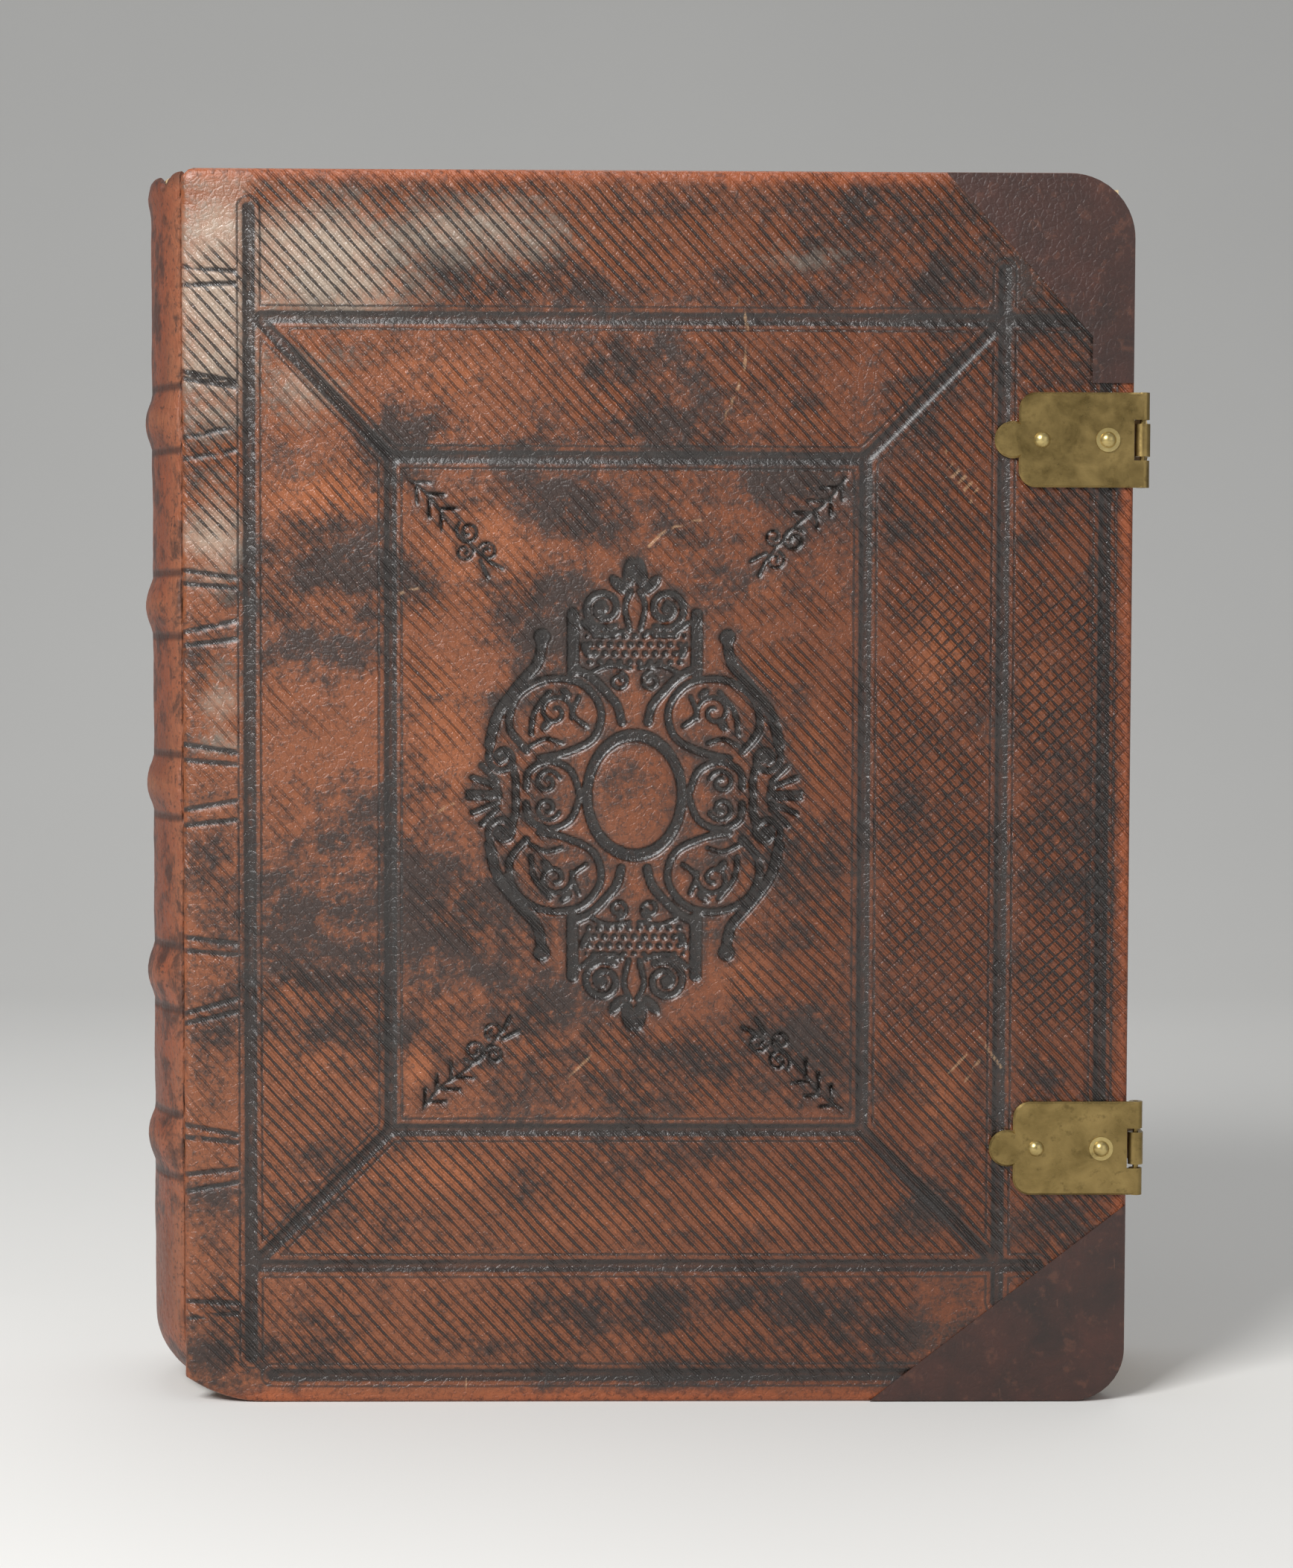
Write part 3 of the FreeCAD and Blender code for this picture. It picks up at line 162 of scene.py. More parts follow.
class Graph:
    """A material's node tree and the few kinds of node that are used again and again."""

    def __init__(self, name: str) -> None:
        """Start a new material with an empty tree."""
        self.material = bpy.data.materials.new(name)
        self.material.use_nodes = True
        self.tree = self.material.node_tree
        self.tree.nodes.clear()

    def node(self, kind: str, settings: dict | None = None, values: dict | None = None,
             output: int | str = 0) -> Signal:
        """Add a node.

        Args:
            kind: the node's type.
            settings: properties set first; "stops" are a ramp's places and colours.
            values: numbers, vectors, colours or signals for the sockets, by index or name.
            output: index or name of the wanted output.

        Returns:
            The wanted output.
        """
        made = self.tree.nodes.new(kind)
        for name, setting in (settings or {}).items():
            if name == "stops":
                self.set_stops(made.color_ramp, setting)
            else:
                setattr(made, name, setting)
        for key, value in (values or {}).items():
            socket = made.inputs[key]
            if isinstance(value, Signal):
                self.tree.links.new(value.socket, socket)
            elif isinstance(value, tuple) and len(value) == 3 and socket.type == "RGBA":
                socket.default_value = (*value, 1.0)
            else:
                socket.default_value = value
        return Signal(self, made.outputs[output])

    @staticmethod
    def set_stops(ramp: bpy.types.ColorRamp, stops: Sequence[tuple[float, Colour]]) -> None:
        """Give a ramp its stops.

        Args:
            ramp: the ramp of a Color Ramp node.
            stops: places from 0 to 1, each with its colour.
        """
        while len(ramp.elements) < len(stops):
            ramp.elements.new(1.0)
        for element, (place, colour) in zip(ramp.elements, stops):
            element.position = place
            element.color = (*colour, 1.0)

    def position(self) -> Signal:
        """Return the place on the piece in millimetres, from the row's origin."""
        place = self.node("ShaderNodeTexCoord", output="Object")
        return self.node("ShaderNodeVectorMath", {"operation": "SCALE"}, {0: place, 3: 1000.0})

    def parts(self, vector: Signal) -> tuple[Signal, Signal, Signal]:
        """Split a vector.

        Args:
            vector: the vector.

        Returns:
            Its three numbers.
        """
        first = self.node("ShaderNodeSeparateXYZ", {}, {0: vector})
        outputs = first.socket.node.outputs
        return first, Signal(self, outputs[1]), Signal(self, outputs[2])

    def stretch(self, vector: Signal, scale: Colour) -> Signal:
        """Return a vector multiplied part by part."""
        return self.node("ShaderNodeVectorMath", {"operation": "MULTIPLY"}, {0: vector, 1: scale})

    def attribute(self, name: str) -> Signal:
        """Return one of the numbers stored on the piece's vertices."""
        return self.node("ShaderNodeAttribute", {"attribute_name": name}, output="Fac")

    def noise(self, vector: Signal, size: float, detail: float = 3.0, rough: float = 0.55,
              warp: float = 0.0) -> Signal:
        """Add cloudy noise.

        Args:
            vector: the place that it is read at.
            size: about how far apart its blotches are, in the vector's unit.
            detail: how many finer layers it has.
            rough: how strong the finer layers are.
            warp: how far it is distorted.

        Returns:
            The noise, from 0 to 1.
        """
        return self.node("ShaderNodeTexNoise", {}, {
            "Vector": vector, "Scale": 1.0 / size, "Detail": detail, "Roughness": rough,
            "Distortion": warp}, output="Fac")

    def cracks(self, vector: Signal, size: float) -> Signal:
        """Return the distance from the borders of cells that measure about size."""
        return self.node("ShaderNodeTexVoronoi", {"feature": "DISTANCE_TO_EDGE"},
                         {"Vector": vector, "Scale": 1.0 / size}, output="Distance")

    def mix(self, share: Signal | float, first: Signal | Colour, second: Signal | Colour) -> Signal:
        """Return two colours mixed, the second by its share."""
        settings = {"data_type": "RGBA", "blend_type": "MIX", "clamp_factor": True}
        return self.node("ShaderNodeMix", settings, {0: share, 6: first, 7: second}, output=2)

    def surface(self, colour: Signal | Colour, rough: Signal | float, height: Signal | None = None,
                metal: float = 0.0, coat: Signal | float = 0.0, fixed: dict | None = None) -> None:
        """Finish the tree with its surface.

        Args:
            colour: base colour.
            rough: roughness.
            height: relief in millimetres.
            metal: metallic share.
            coat: weight of the polish on top.
            fixed: other sockets of the shader, set to plain values.
        """
        values = {"Base Color": colour, "Roughness": rough, "Metallic": metal, "Coat Weight": coat}
        values |= fixed or {}
        if height is not None:
            values["Normal"] = self.node("ShaderNodeBump", {}, {
                "Strength": 1.0, "Distance": MM, "Height": height})
        shader = self.node("ShaderNodeBsdfPrincipled", {}, values)
        end = self.tree.nodes.new("ShaderNodeOutputMaterial")
        self.tree.links.new(shader.socket, end.inputs[0])


# Drawn tooling, in millimetres on the cover


@dataclass(frozen=True)
class Rule:
    """One straight pressed line; a broad one has fine lines beside it."""

    start: Point
    end: Point


@dataclass(frozen=True)
class Blob:
    """A soft oval patch of wear or stain; the glare table uses it for patches of painted glare."""

    centre: Point
    reach: Point
    share: float = 1.0
    turned: float = 0.0


@dataclass(frozen=True)
class Stroke:
    """One strap of an ornament: a smooth line through points, with its breadth."""

    points: tuple[Point, ...]
    breadth: float


BROAD_RULES = (
    Rule((16.5, 12.0), (16.5, 310.0)),
    Rule((211.2, 26.0), (211.2, 295.0)),
    Rule((19.5, 282.0), (230.0, 282.0)),
    Rule((19.5, 36.0), (222.0, 36.0)),
    Rule((52.8, 71.7), (52.8, 246.3)),
    Rule((175.5, 71.7), (175.5, 246.3)),
    Rule((52.8, 246.3), (175.5, 246.3)),
    Rule((52.8, 71.7), (175.5, 71.7)),
    Rule((19.5, 281.0), (52.8, 246.3)),
    Rule((210.0, 281.0), (175.5, 246.3)),
    Rule((19.5, 38.5), (52.8, 71.7)),
    Rule((210.0, 37.5), (175.5, 71.7)),
    Rule((237.6, 58.0), (237.6, 300.0)),
    Rule((22.0, 7.2), (226.0, 7.2)),
)
FINE_RULES = (
    Rule((19.5, 309.0), (222.0, 309.0)),
    Rule((22.0, 314.5), (222.0, 314.5)),
    Rule((20.0, 10.8), (226.0, 10.8)),
    Rule((233.5, 60.0), (233.5, 298.0)),
)
BAND_HEIGHTS = (67.0, 111.0, 161.0, 208.0, 256.0)


def tie_rules() -> tuple[Rule, ...]:
    """Return the short pressed lines that run from the spine on to the cover."""
    heights = ((268.0, 265.5), (266.2, 264.0), (251.0, 254.0), (245.5, 248.0), (217.0, 215.0),
               (213.6, 212.4), (201.0, 204.0), (197.5, 199.2), (172.0, 170.0), (168.0, 166.8),
               (155.0, 157.5), (151.0, 152.5), (122.0, 120.2), (118.5, 117.4), (102.0, 106.0),
               (99.5, 102.5), (73.0, 70.4), (69.8, 68.4), (60.0, 61.4), (55.5, 58.0),
               (294.8, 293.6), (290.0, 290.6), (26.8, 26.2), (22.4, 23.4))
    return tuple(Rule((-0.5, start), (13.0, end)) for start, end in heights)


def spiral(centre: Point, outer: float, inner: float, start: float, turns: float) -> tuple[Point, ...]:
    """Draw a volute.

    Args:
        centre: the point that it curls round.
        outer: radius where it starts.
        inner: radius where it ends.
        start: direction of its start, in degrees.
        turns: how far it turns; a negative number turns clockwise.

    Returns:
        The volute's points.
    """
    count = 16
    points = []
    for step in range(count + 1):
        share = step / count
        radius = outer + (inner - outer) * share
        angle = math.radians(start + 360.0 * turns * share)
        points.append((centre[0] + radius * math.cos(angle), centre[1] + radius * math.sin(angle)))
    return tuple(points)


QUARTER_STRAPS = (
    Stroke(((24.0, 39.5), (25.3, 34.0), (30.0, 28.5), (35.4, 21.0), (37.6, 13.0)), 2.8),
    Stroke(spiral((34.2, 9.6), 3.9, 1.2, 35.0, -1.25), 1.8),
    Stroke(((28.0, 11.5), (32.4, 17.5), (30.5, 25.5), (23.0, 30.0), (14.0, 29.0), (8.8, 22.5),
            (10.5, 15.0), (17.5, 11.2), (24.5, 9.6)), 2.0),
    Stroke(((16.0, 33.0), (11.5, 30.8), (7.6, 27.0), (4.6, 23.4), (3.4, 19.0)), 2.4),
    Stroke(((16.0, 32.0), (16.0, 47.0)), 3.2),
    Stroke(spiral((8.0, 48.4), 5.4, 1.3, -120.0, 1.55), 2.0),
    Stroke(((13.6, 44.6), (9.0, 41.5), (3.2, 42.4)), 1.6),
    Stroke(((1.4, 43.0), (2.6, 49.0), (1.0, 53.0)), 1.6),
    Stroke(spiral((20.6, 21.6), 4.6, 1.0, 200.0, -1.3), 1.3),
    Stroke(((12.6, 18.0), (16.0, 21.0), (14.5, 25.5)), 1.4),
    Stroke(((26.8, 16.0), (26.0, 21.5), (22.0, 26.8)), 1.5),
    Stroke(((19.0, 13.6), (23.0, 14.6), (27.0, 12.8)), 1.2),
    Stroke(((14.2, 0.6), (16.6, 6.4), (22.0, 8.8), (27.2, 6.4), (28.0, 2.2)), 1.9),
    Stroke(spiral((22.6, 3.4), 3.3, 0.9, 160.0, -1.2), 1.3),
    Stroke(((31.6, 7.6), (30.8, 4.0), (30.8, 0.0)), 2.0),
    Stroke(((35.0, 0.4), (43.0, 0.6)), 1.7),
    Stroke(((35.4, 2.0), (42.0, 4.6)), 1.7),
    Stroke(((35.6, 3.6), (39.6, 7.6)), 1.7),
    Stroke(((11.6, 31.6), (7.0, 33.6), (1.2, 33.0)), 1.3),
    Stroke(spiral((4.2, 29.6), 2.5, 0.9, 90.0, 1.2), 1.2),
)
QUARTER_DROPS = (
    Blob((24.0, 41.0), (2.2, 2.2)),
    Blob((1.4, 57.6), (1.8, 4.2), turned=8.0),
    Blob((4.4, 54.6), (1.5, 3.2), turned=-42.0),
    Blob((33.8, 9.6), (1.3, 1.3)),
    Blob((8.0, 48.4), (1.3, 1.3)),
    Blob((22.8, 18.4), (1.2, 2.0), turned=35.0),
    Blob((17.8, 26.4), (1.1, 1.9), turned=-50.0),
    Blob((25.2, 29.4), (1.0, 1.8), turned=60.0),
    Blob((12.6, 37.6), (1.1, 2.4), turned=-25.0),
)
SPRIG_STROKES = (
    Stroke(((0.0, 0.0), (8.0, 0.9), (17.0, -0.5), (31.0, 0.2)), 0.9),
    Stroke(((2.0, 0.4), (5.0, 3.4)), 1.1),
    Stroke(((3.4, 0.2), (6.6, -2.8)), 1.1),
    Stroke(((6.6, 0.8), (9.8, 4.0)), 1.1),
    Stroke(((8.0, 0.4), (11.4, -3.0)), 1.1),
    Stroke(((11.6, 0.4), (14.6, 3.8)), 1.1),
    Stroke(((13.0, 0.0), (16.0, -3.4)), 1.1),
    Stroke(spiral((21.0, 1.8), 3.2, 0.8, 180.0, 1.4), 1.1),
    Stroke(spiral((24.0, -2.6), 2.6, 0.7, 140.0, -1.4), 1.0),
    Stroke(spiral((28.2, 1.8), 2.5, 0.7, 200.0, -1.3), 1.0),
    Stroke(((28.6, -1.2), (32.8, -2.6)), 1.3),
    Stroke(((30.0, 0.2), (34.0, 1.6)), 1.3),
)
SPRIG_PLACES = (((57.0, 241.0), -46.0), ((170.5, 241.5), -134.0),
                ((60.5, 76.5), 44.0), ((170.5, 77.0), 138.0))
ORNAMENT_CENTRE = (116.0, 159.0)
BERRY_RISE = 2.3
BERRY_STEP = 2.6
BERRY_RADIUS = 0.85


def smooth_line(points: Sequence[Point], steps: int = 6) -> np.ndarray:
    """Draw a smooth line.

    Args:
        points: the points that it passes through.
        steps: how many runs it has from each point to the next.

    Returns:
        The line's points; two points alone stay a straight run.
    """
    knots = np.array([points[0], *points, points[-1]], dtype=float)
    if len(points) == 2:
        return np.array(points, dtype=float)
    line = []
    for first, second, third, fourth in zip(knots, knots[1:], knots[2:], knots[3:]):
        for step in range(steps):
            share = step / steps
            line.append(0.5 * (2 * second + (third - first) * share
                               + (2 * first - 5 * second + 4 * third - fourth) * share ** 2
                               + (3 * second - first - 3 * third + fourth) * share ** 3))
    line.append(knots[-1])
    return np.array(line)


def distance_to_line(places: np.ndarray, line: np.ndarray) -> np.ndarray:
    """Measure places from a line.

    Args:
        places: the places.
        line: points of straight runs.

    Returns:
        Each place's distance from the nearest run.
    """
    nearest = np.full(len(places), 1e6)
    for start, end in zip(line, line[1:]):
        run = end - start
        length = float(run @ run) or 1e-9
        share = np.clip(((places - start) @ run) / length, 0.0, 1.0)
        gap = places - (start + share[:, None] * run)
        nearest = np.minimum(nearest, np.hypot(gap[:, 0], gap[:, 1]))
    return nearest


def distance_to_rules(places: np.ndarray, rules: Iterable[Rule]) -> np.ndarray:
    """Measure places from pressed lines.

    Args:
        places: the places.
        rules: the pressed lines.

    Returns:
        Each place's distance from the nearest of them.
    """
    nearest = np.full(len(places), 1e6)
    for rule in rules:
        nearest = np.minimum(nearest, distance_to_line(places, np.array([rule.start, rule.end])))
    return nearest


def distance_to_strokes(places: np.ndarray, strokes: Iterable[Stroke], steps: int = 6) -> np.ndarray:
    """Measure places from the edges of straps.

    Args:
        places: the places.
        strokes: the straps.
        steps: how finely each is drawn.

    Returns:
        Each place's distance from the nearest edge, negative inside a strap.
    """
    nearest = np.full(len(places), 1e6)
    for stroke in strokes:
        line = smooth_line(stroke.points, steps)
        nearest = np.minimum(nearest, distance_to_line(places, line) - stroke.breadth / 2)
    return nearest


def turned_offsets(places: np.ndarray, centre: Point, turned: float) -> tuple[np.ndarray, np.ndarray]:
    """Give places by a turned direction.

    Args:
        places: the places.
        centre: the point that they are measured from.
        turned: the direction, in degrees.

    Returns:
        How far each place lies along and across the direction.
    """
    offset = places - np.array(centre)
    angle = math.radians(turned)
    along = offset[:, 0] * math.cos(angle) + offset[:, 1] * math.sin(angle)
    across = -offset[:, 0] * math.sin(angle) + offset[:, 1] * math.cos(angle)
    return along, across


def blob_share(places: np.ndarray, blobs: Iterable[Blob]) -> np.ndarray:
    """Lay soft patches over places.

    Args:
        places: the places.
        blobs: the patches.

    Returns:
        How strongly they cover each place, from 0 to 1.
    """
    total = np.zeros(len(places))
    for blob in blobs:
        along, across = turned_offsets(places, blob.centre, blob.turned)
        reach = (along / blob.reach[0]) ** 2 + (across / blob.reach[1]) ** 2
        total = np.maximum(total, blob.share * np.exp(-reach * 0.9))
    return total


def ease(values: np.ndarray, low: float, high: float) -> np.ndarray:
    """Return a smooth step from 0 at low to 1 at high."""
    share = np.clip((values - low) / (high - low), 0.0, 1.0)
    return share * share * (3.0 - 2.0 * share)


def field_share(places: np.ndarray, left: float, right: float, foot: float, top: float,
                share: float, soft: float = 9.0) -> np.ndarray:
    """Lay a soft-edged rectangle over places.

    Args:
        places: the places.
        left: its left side.
        right: its right side.
        foot: its lower side.
        top: its upper side.
        share: its strength.
        soft: half the breadth of its soft edge.

    Returns:
        Its strength at each place.
    """
    across = ease(places[:, 0], left - soft, left + soft)
    across = across * ease(-places[:, 0], -right - soft, soft - right)
    upright = ease(places[:, 1], foot - soft, foot + soft)
    upright = upright * ease(-places[:, 1], -top - soft, soft - top)
    return across * upright * share


def ornament_distance(places: np.ndarray) -> np.ndarray:
    """Measure places from the edges of the centre ornament's straps.

    Args:
        places: places on the cover.

    Returns:
        Each place's distance, negative inside a strap; 9 where the ornament is far off.
    """
    folded = np.abs(places - np.array(ORNAMENT_CENTRE))
    nearest = np.full(len(places), 9.0)
    near = (folded[:, 0] < 48.0) & (folded[:, 1] < 66.0)
    inside = folded[near]
    oval = np.abs(np.hypot(inside[:, 0] / 12.3, inside[:, 1] / 15.6) - 1.0) * 13.8 - 1.5
    edge = np.minimum(oval, distance_to_strokes(inside, QUARTER_STRAPS))
    for drop in QUARTER_DROPS:
        along, across = turned_offsets(inside, drop.centre, drop.turned)
        reach = np.hypot(along / drop.reach[0], across / drop.reach[1])
        edge = np.minimum(edge, (reach - 1.0) * min(drop.reach))
    grapes = (inside[:, 0] < 13.0) & (inside[:, 1] > 33.8) & (inside[:, 1] < 42.0)
    row = np.round(inside[:, 1] / BERRY_RISE)
    column = inside[:, 0] / BERRY_STEP + 0.5 * (row % 2)
    berry = np.hypot((column - np.round(column)) * BERRY_STEP, inside[:, 1] - row * BERRY_RISE)
    edge = np.where(grapes, np.minimum(edge, berry - BERRY_RADIUS), edge)
    nearest[near] = edge
    return nearest


def sprig_distance(places: np.ndarray) -> np.ndarray:
    """Measure places from the edges of the corner sprigs.

    Args:
        places: places on the cover.

    Returns:
        Each place's distance, negative inside a sprig; 9 where none is near.
    """
    nearest = np.full(len(places), 9.0)
    for root, turned in SPRIG_PLACES:
        along, across = turned_offsets(places, root, turned)
        near = (along > -4.0) & (along < 39.0) & (np.abs(across) < 9.0)
        local = np.stack((along[near], across[near]), axis=1)
        nearest[near] = np.minimum(nearest[near], distance_to_strokes(local, SPRIG_STROKES, 4))
    return nearest


# Wear, stains and painted glare on the front cover, in millimetres on the cover

STAINS = (
    Blob((64.0, 300.0), (20.0, 8.0), 0.75, -20.0),
    Blob((98.0, 287.0), (24.0, 8.0), 0.85, -12.0),
    Blob((130.0, 268.0), (30.0, 9.0), 0.55),
    Blob((173.0, 303.0), (12.0, 9.0), 0.9),
    Blob((206.0, 298.0), (22.0, 20.0), 0.75),
    Blob((150.0, 285.0), (30.0, 7.0), 0.6),
    Blob((124.0, 251.0), (20.0, 9.0), 0.85),
    Blob((58.0, 250.0), (12.0, 9.0), 0.85),
    Blob((112.0, 233.0), (34.0, 13.0), 0.7),
    Blob((152.0, 238.0), (16.0, 12.0), 0.55),
    Blob((44.0, 215.0), (24.0, 9.0), 0.7, 6.0),
    Blob((30.0, 196.0), (18.0, 9.0), 0.6),
    Blob((96.0, 204.0), (14.0, 16.0), 0.75, 40.0),
    Blob((40.0, 148.0), (22.0, 9.0), 0.75),
    Blob((58.0, 132.0), (40.0, 14.0), 0.95, -3.0),
    Blob((34.0, 118.0), (20.0, 10.0), 0.8),
    Blob((94.0, 108.0), (18.0, 22.0), 0.85, 30.0),
    Blob((78.0, 96.0), (14.0, 12.0), 0.6),
    Blob((160.0, 92.0), (16.0, 12.0), 0.75, -30.0),
    Blob((134.0, 88.0), (20.0, 9.0), 0.5),
    Blob((216.0, 229.0), (16.0, 9.0), 1.0),
    Blob((224.0, 268.0), (14.0, 6.0), 0.85),
    Blob((226.0, 84.0), (14.0, 5.0), 0.6),
    Blob((228.0, 50.0), (12.0, 7.0), 0.85),
    Blob((193.0, 232.0), (12.0, 12.0), 0.55),
    Blob((190.0, 150.0), (12.0, 18.0), 0.4),
    Blob((205.0, 118.0), (16.0, 14.0), 0.55),
    Blob((162.0, 130.0), (12.0, 16.0), 0.4),
    Blob((222.0, 150.0), (12.0, 26.0), 0.35),
    Blob((110.0, 24.0), (30.0, 5.0), 0.85),
    Blob((164.0, 20.0), (20.0, 6.0), 0.6),
    Blob((60.0, 12.0), (36.0, 7.0), 0.75),
    Blob((88.0, 55.0), (9.0, 7.0), 0.6),
    Blob((122.0, 66.0), (20.0, 6.0), 0.6),
    Blob((186.0, 52.0), (14.0, 9.0), 0.5),
    Blob((7.0, 120.0), (8.0, 34.0), 0.45),
    Blob((8.0, 56.0), (7.0, 18.0), 0.6),
    Blob((8.0, 14.0), (8.0, 9.0), 0.6),
    Blob((8.0, 190.0), (7.0, 16.0), 0.35),
)
RUBS = (
    Blob((36.0, 236.0), (20.0, 11.0), 0.9),
    Blob((76.0, 222.0), (18.0, 17.0), 0.95),
    Blob((66.0, 268.0), (22.0, 10.0), 0.75),
    Blob((104.0, 300.0), (12.0, 9.0), 0.5),
    Blob((130.0, 304.0), (26.0, 7.0), 0.45),
    Blob((66.0, 178.0), (14.0, 26.0), 0.75),
    Blob((40.0, 178.0), (14.0, 12.0), 0.5),
    Blob((32.0, 88.0), (16.0, 14.0), 0.6),
    Blob((66.0, 60.0), (22.0, 8.0), 0.85),
    Blob((104.0, 48.0), (30.0, 9.0), 0.7),
    Blob((148.0, 50.0), (24.0, 9.0), 0.7),
    Blob((60.0, 88.0), (6.0, 8.0), 0.9),
    Blob((124.0, 34.0), (60.0, 5.0), 0.4),
    Blob((70.0, 17.0), (30.0, 5.0), 0.45),
    Blob((144.0, 112.0), (14.0, 18.0), 0.6),
    Blob((164.0, 172.0), (9.0, 34.0), 0.6),
    Blob((150.0, 214.0), (12.0, 12.0), 0.5),
    Blob((194.0, 196.0), (13.0, 22.0), 0.75),
    Blob((196.0, 82.0), (12.0, 16.0), 0.7),
    Blob((222.0, 190.0), (10.0, 24.0), 0.6),
    Blob((220.0, 112.0), (10.0, 16.0), 0.55),
    Blob((160.0, 256.0), (12.0, 7.0), 0.5),
)
# Painted glare: pale patches at the upper left that stand in for the lamp's reflection on the leather.
PAINTED_GLARES = (
    Blob((8.0, 285.0), (12.0, 34.0), 1.0),
    Blob((34.0, 296.0), (26.0, 16.0), 0.9),
    Blob((70.0, 304.0), (34.0, 10.0), 0.6),
    Blob((8.0, 226.0), (9.0, 16.0), 0.7),
    Blob((9.0, 180.0), (8.0, 14.0), 0.5),
    Blob((30.0, 262.0), (16.0, 14.0), 0.45),
    Blob((150.0, 300.0), (40.0, 8.0), 0.25),
)
SCRATCHES = (
    ((141.0, 290.0), (144.5, 281.0), (144.0, 270.0), (141.0, 261.0), (138.0, 255.0)),
    ((119.0, 223.0), (124.0, 227.5), (133.0, 230.5)),
    ((195.0, 250.0), (199.0, 244.0), (205.0, 238.0)),
    ((196.0, 243.0), (200.0, 240.0), (203.0, 235.0)),
    ((98.0, 85.0), (105.0, 91.0)),
    ((198.0, 86.0), (203.0, 92.0)),
    ((202.0, 84.0), (207.0, 91.0)),
    ((206.0, 96.0), (212.0, 88.0)),
    ((55.0, 211.0), (61.0, 213.0)),
    ((63.0, 153.5), (70.0, 157.5)),
    ((71.5, 0.0), (72.4, 6.0)),
)


def hatch_share(places: np.ndarray) -> np.ndarray:
    """Lay the slanting lines' fields over places.

    Args:
        places: places on the cover.

    Returns:
        How strongly the lines are pressed at each place.
    """
    fields = (
        (18, 95, 286, 318, 1.0), (90, 215, 286, 318, 0.7), (0, 15, 225, 300, 0.9),
        (0, 15, 20, 225, 0.35), (18, 52, 40, 112, 0.9), (18, 52, 112, 200, 0.2),
        (18, 60, 200, 280, 0.4), (60, 175, 248, 280, 0.5), (56, 100, 75, 110, 0.55),
        (56, 95, 110, 240, 0.4), (95, 175, 200, 244, 0.3), (140, 174, 75, 200, 0.65),
        (100, 145, 75, 100, 0.7), (178, 210, 45, 280, 0.75), (214, 245, 30, 290, 0.8),
        (18, 215, 38, 70, 0.85), (5, 190, 8, 34, 0.7))
    total = np.zeros(len(places))
    for left, right, foot, top, share in fields:
        total = np.maximum(total, field_share(places, left, right, foot, top, share, 5.0))
    return total


def cross_share(places: np.ndarray) -> np.ndarray:
    """Return how strongly the lines that slant the other way are pressed."""
    return np.maximum(field_share(places, 180, 210, 95, 215, 0.7),
                      field_share(places, 214, 244, 95, 215, 0.85))


# Modelling


def clear_selection() -> None:
    """Leave edit mode and deselect everything."""
    if bpy.context.object and bpy.context.object.mode != "OBJECT":
        bpy.ops.object.mode_set(mode="OBJECT")
    bpy.ops.object.select_all(action="DESELECT")


def edit(piece: bpy.types.Object) -> None:
    """Open a piece alone in edit mode with nothing selected.

    Args:
        piece: the piece.
    """
    clear_selection()
    bpy.context.view_layer.objects.active = piece
    piece.select_set(True)
    bpy.ops.object.mode_set(mode="EDIT")
    bpy.ops.mesh.select_all(action="DESELECT")


def flat_grid(name: str, across: float, upright: float, columns: int, rows: int) -> bpy.types.Object:
    """Add a flat grid that starts at the origin.

    Args:
        name: the piece's name.
        across: its size along X.
        upright: its size along Y.
        columns: its faces along X.
        rows: its faces along Y.

    Returns:
        The grid, in object mode.
    """
    clear_selection()
    bpy.ops.mesh.primitive_grid_add(x_subdivisions=columns, y_subdivisions=rows, size=1.0,
                                    location=(0.0, 0.0, 0.0))
    piece = bpy.context.object
    piece.name = name
    bpy.ops.object.mode_set(mode="EDIT")
    bpy.ops.mesh.select_all(action="SELECT")
    bpy.ops.transform.translate(value=(0.5, 0.5, 0.0))
    bpy.ops.transform.resize(value=(across, upright, 1.0), center_override=(0.0, 0.0, 0.0))
    bpy.ops.object.mode_set(mode="OBJECT")
    return piece


def vertex_places(piece: bpy.types.Object) -> np.ndarray:
    """Read a piece's vertices.

    Args:
        piece: the piece.

    Returns:
        Their places.
    """
    flat = np.empty(len(piece.data.vertices) * 3)
    piece.data.vertices.foreach_get("co", flat)
    return flat.reshape(-1, 3)


def set_places(piece: bpy.types.Object, places: np.ndarray) -> None:
    """Move a piece's vertices, given in millimetres from the row's origin."""
    piece.data.vertices.foreach_set("co", (places * MM).ravel())
    piece.data.update()


def store(piece: bpy.types.Object, name: str, numbers: np.ndarray) -> None:
    """Store one number on each vertex for the shader."""
    made = piece.data.attributes.new(name, "FLOAT", "POINT")
    made.data.foreach_set("value", numbers.astype(np.float32))


def face_centres(piece: bpy.types.Object) -> np.ndarray:
    """Return the middle of each face of the piece that is open in edit mode."""
    mesh = bmesh.from_edit_mesh(piece.data)
    return np.array([face.calc_center_median()[:] for face in mesh.faces])


def choose_faces(piece: bpy.types.Object, chosen: np.ndarray) -> None:
    """Select faces of the piece that is open in edit mode.

    Args:
        piece: the piece.
        chosen: whether each face is wanted, in their order.
    """
    bpy.ops.mesh.select_mode(type="FACE")
    bpy.ops.mesh.select_all(action="DESELECT")
    mesh = bmesh.from_edit_mesh(piece.data)
    for face, wanted in zip(mesh.faces, chosen):
        face.select_set(bool(wanted))
    bmesh.update_edit_mesh(piece.data)


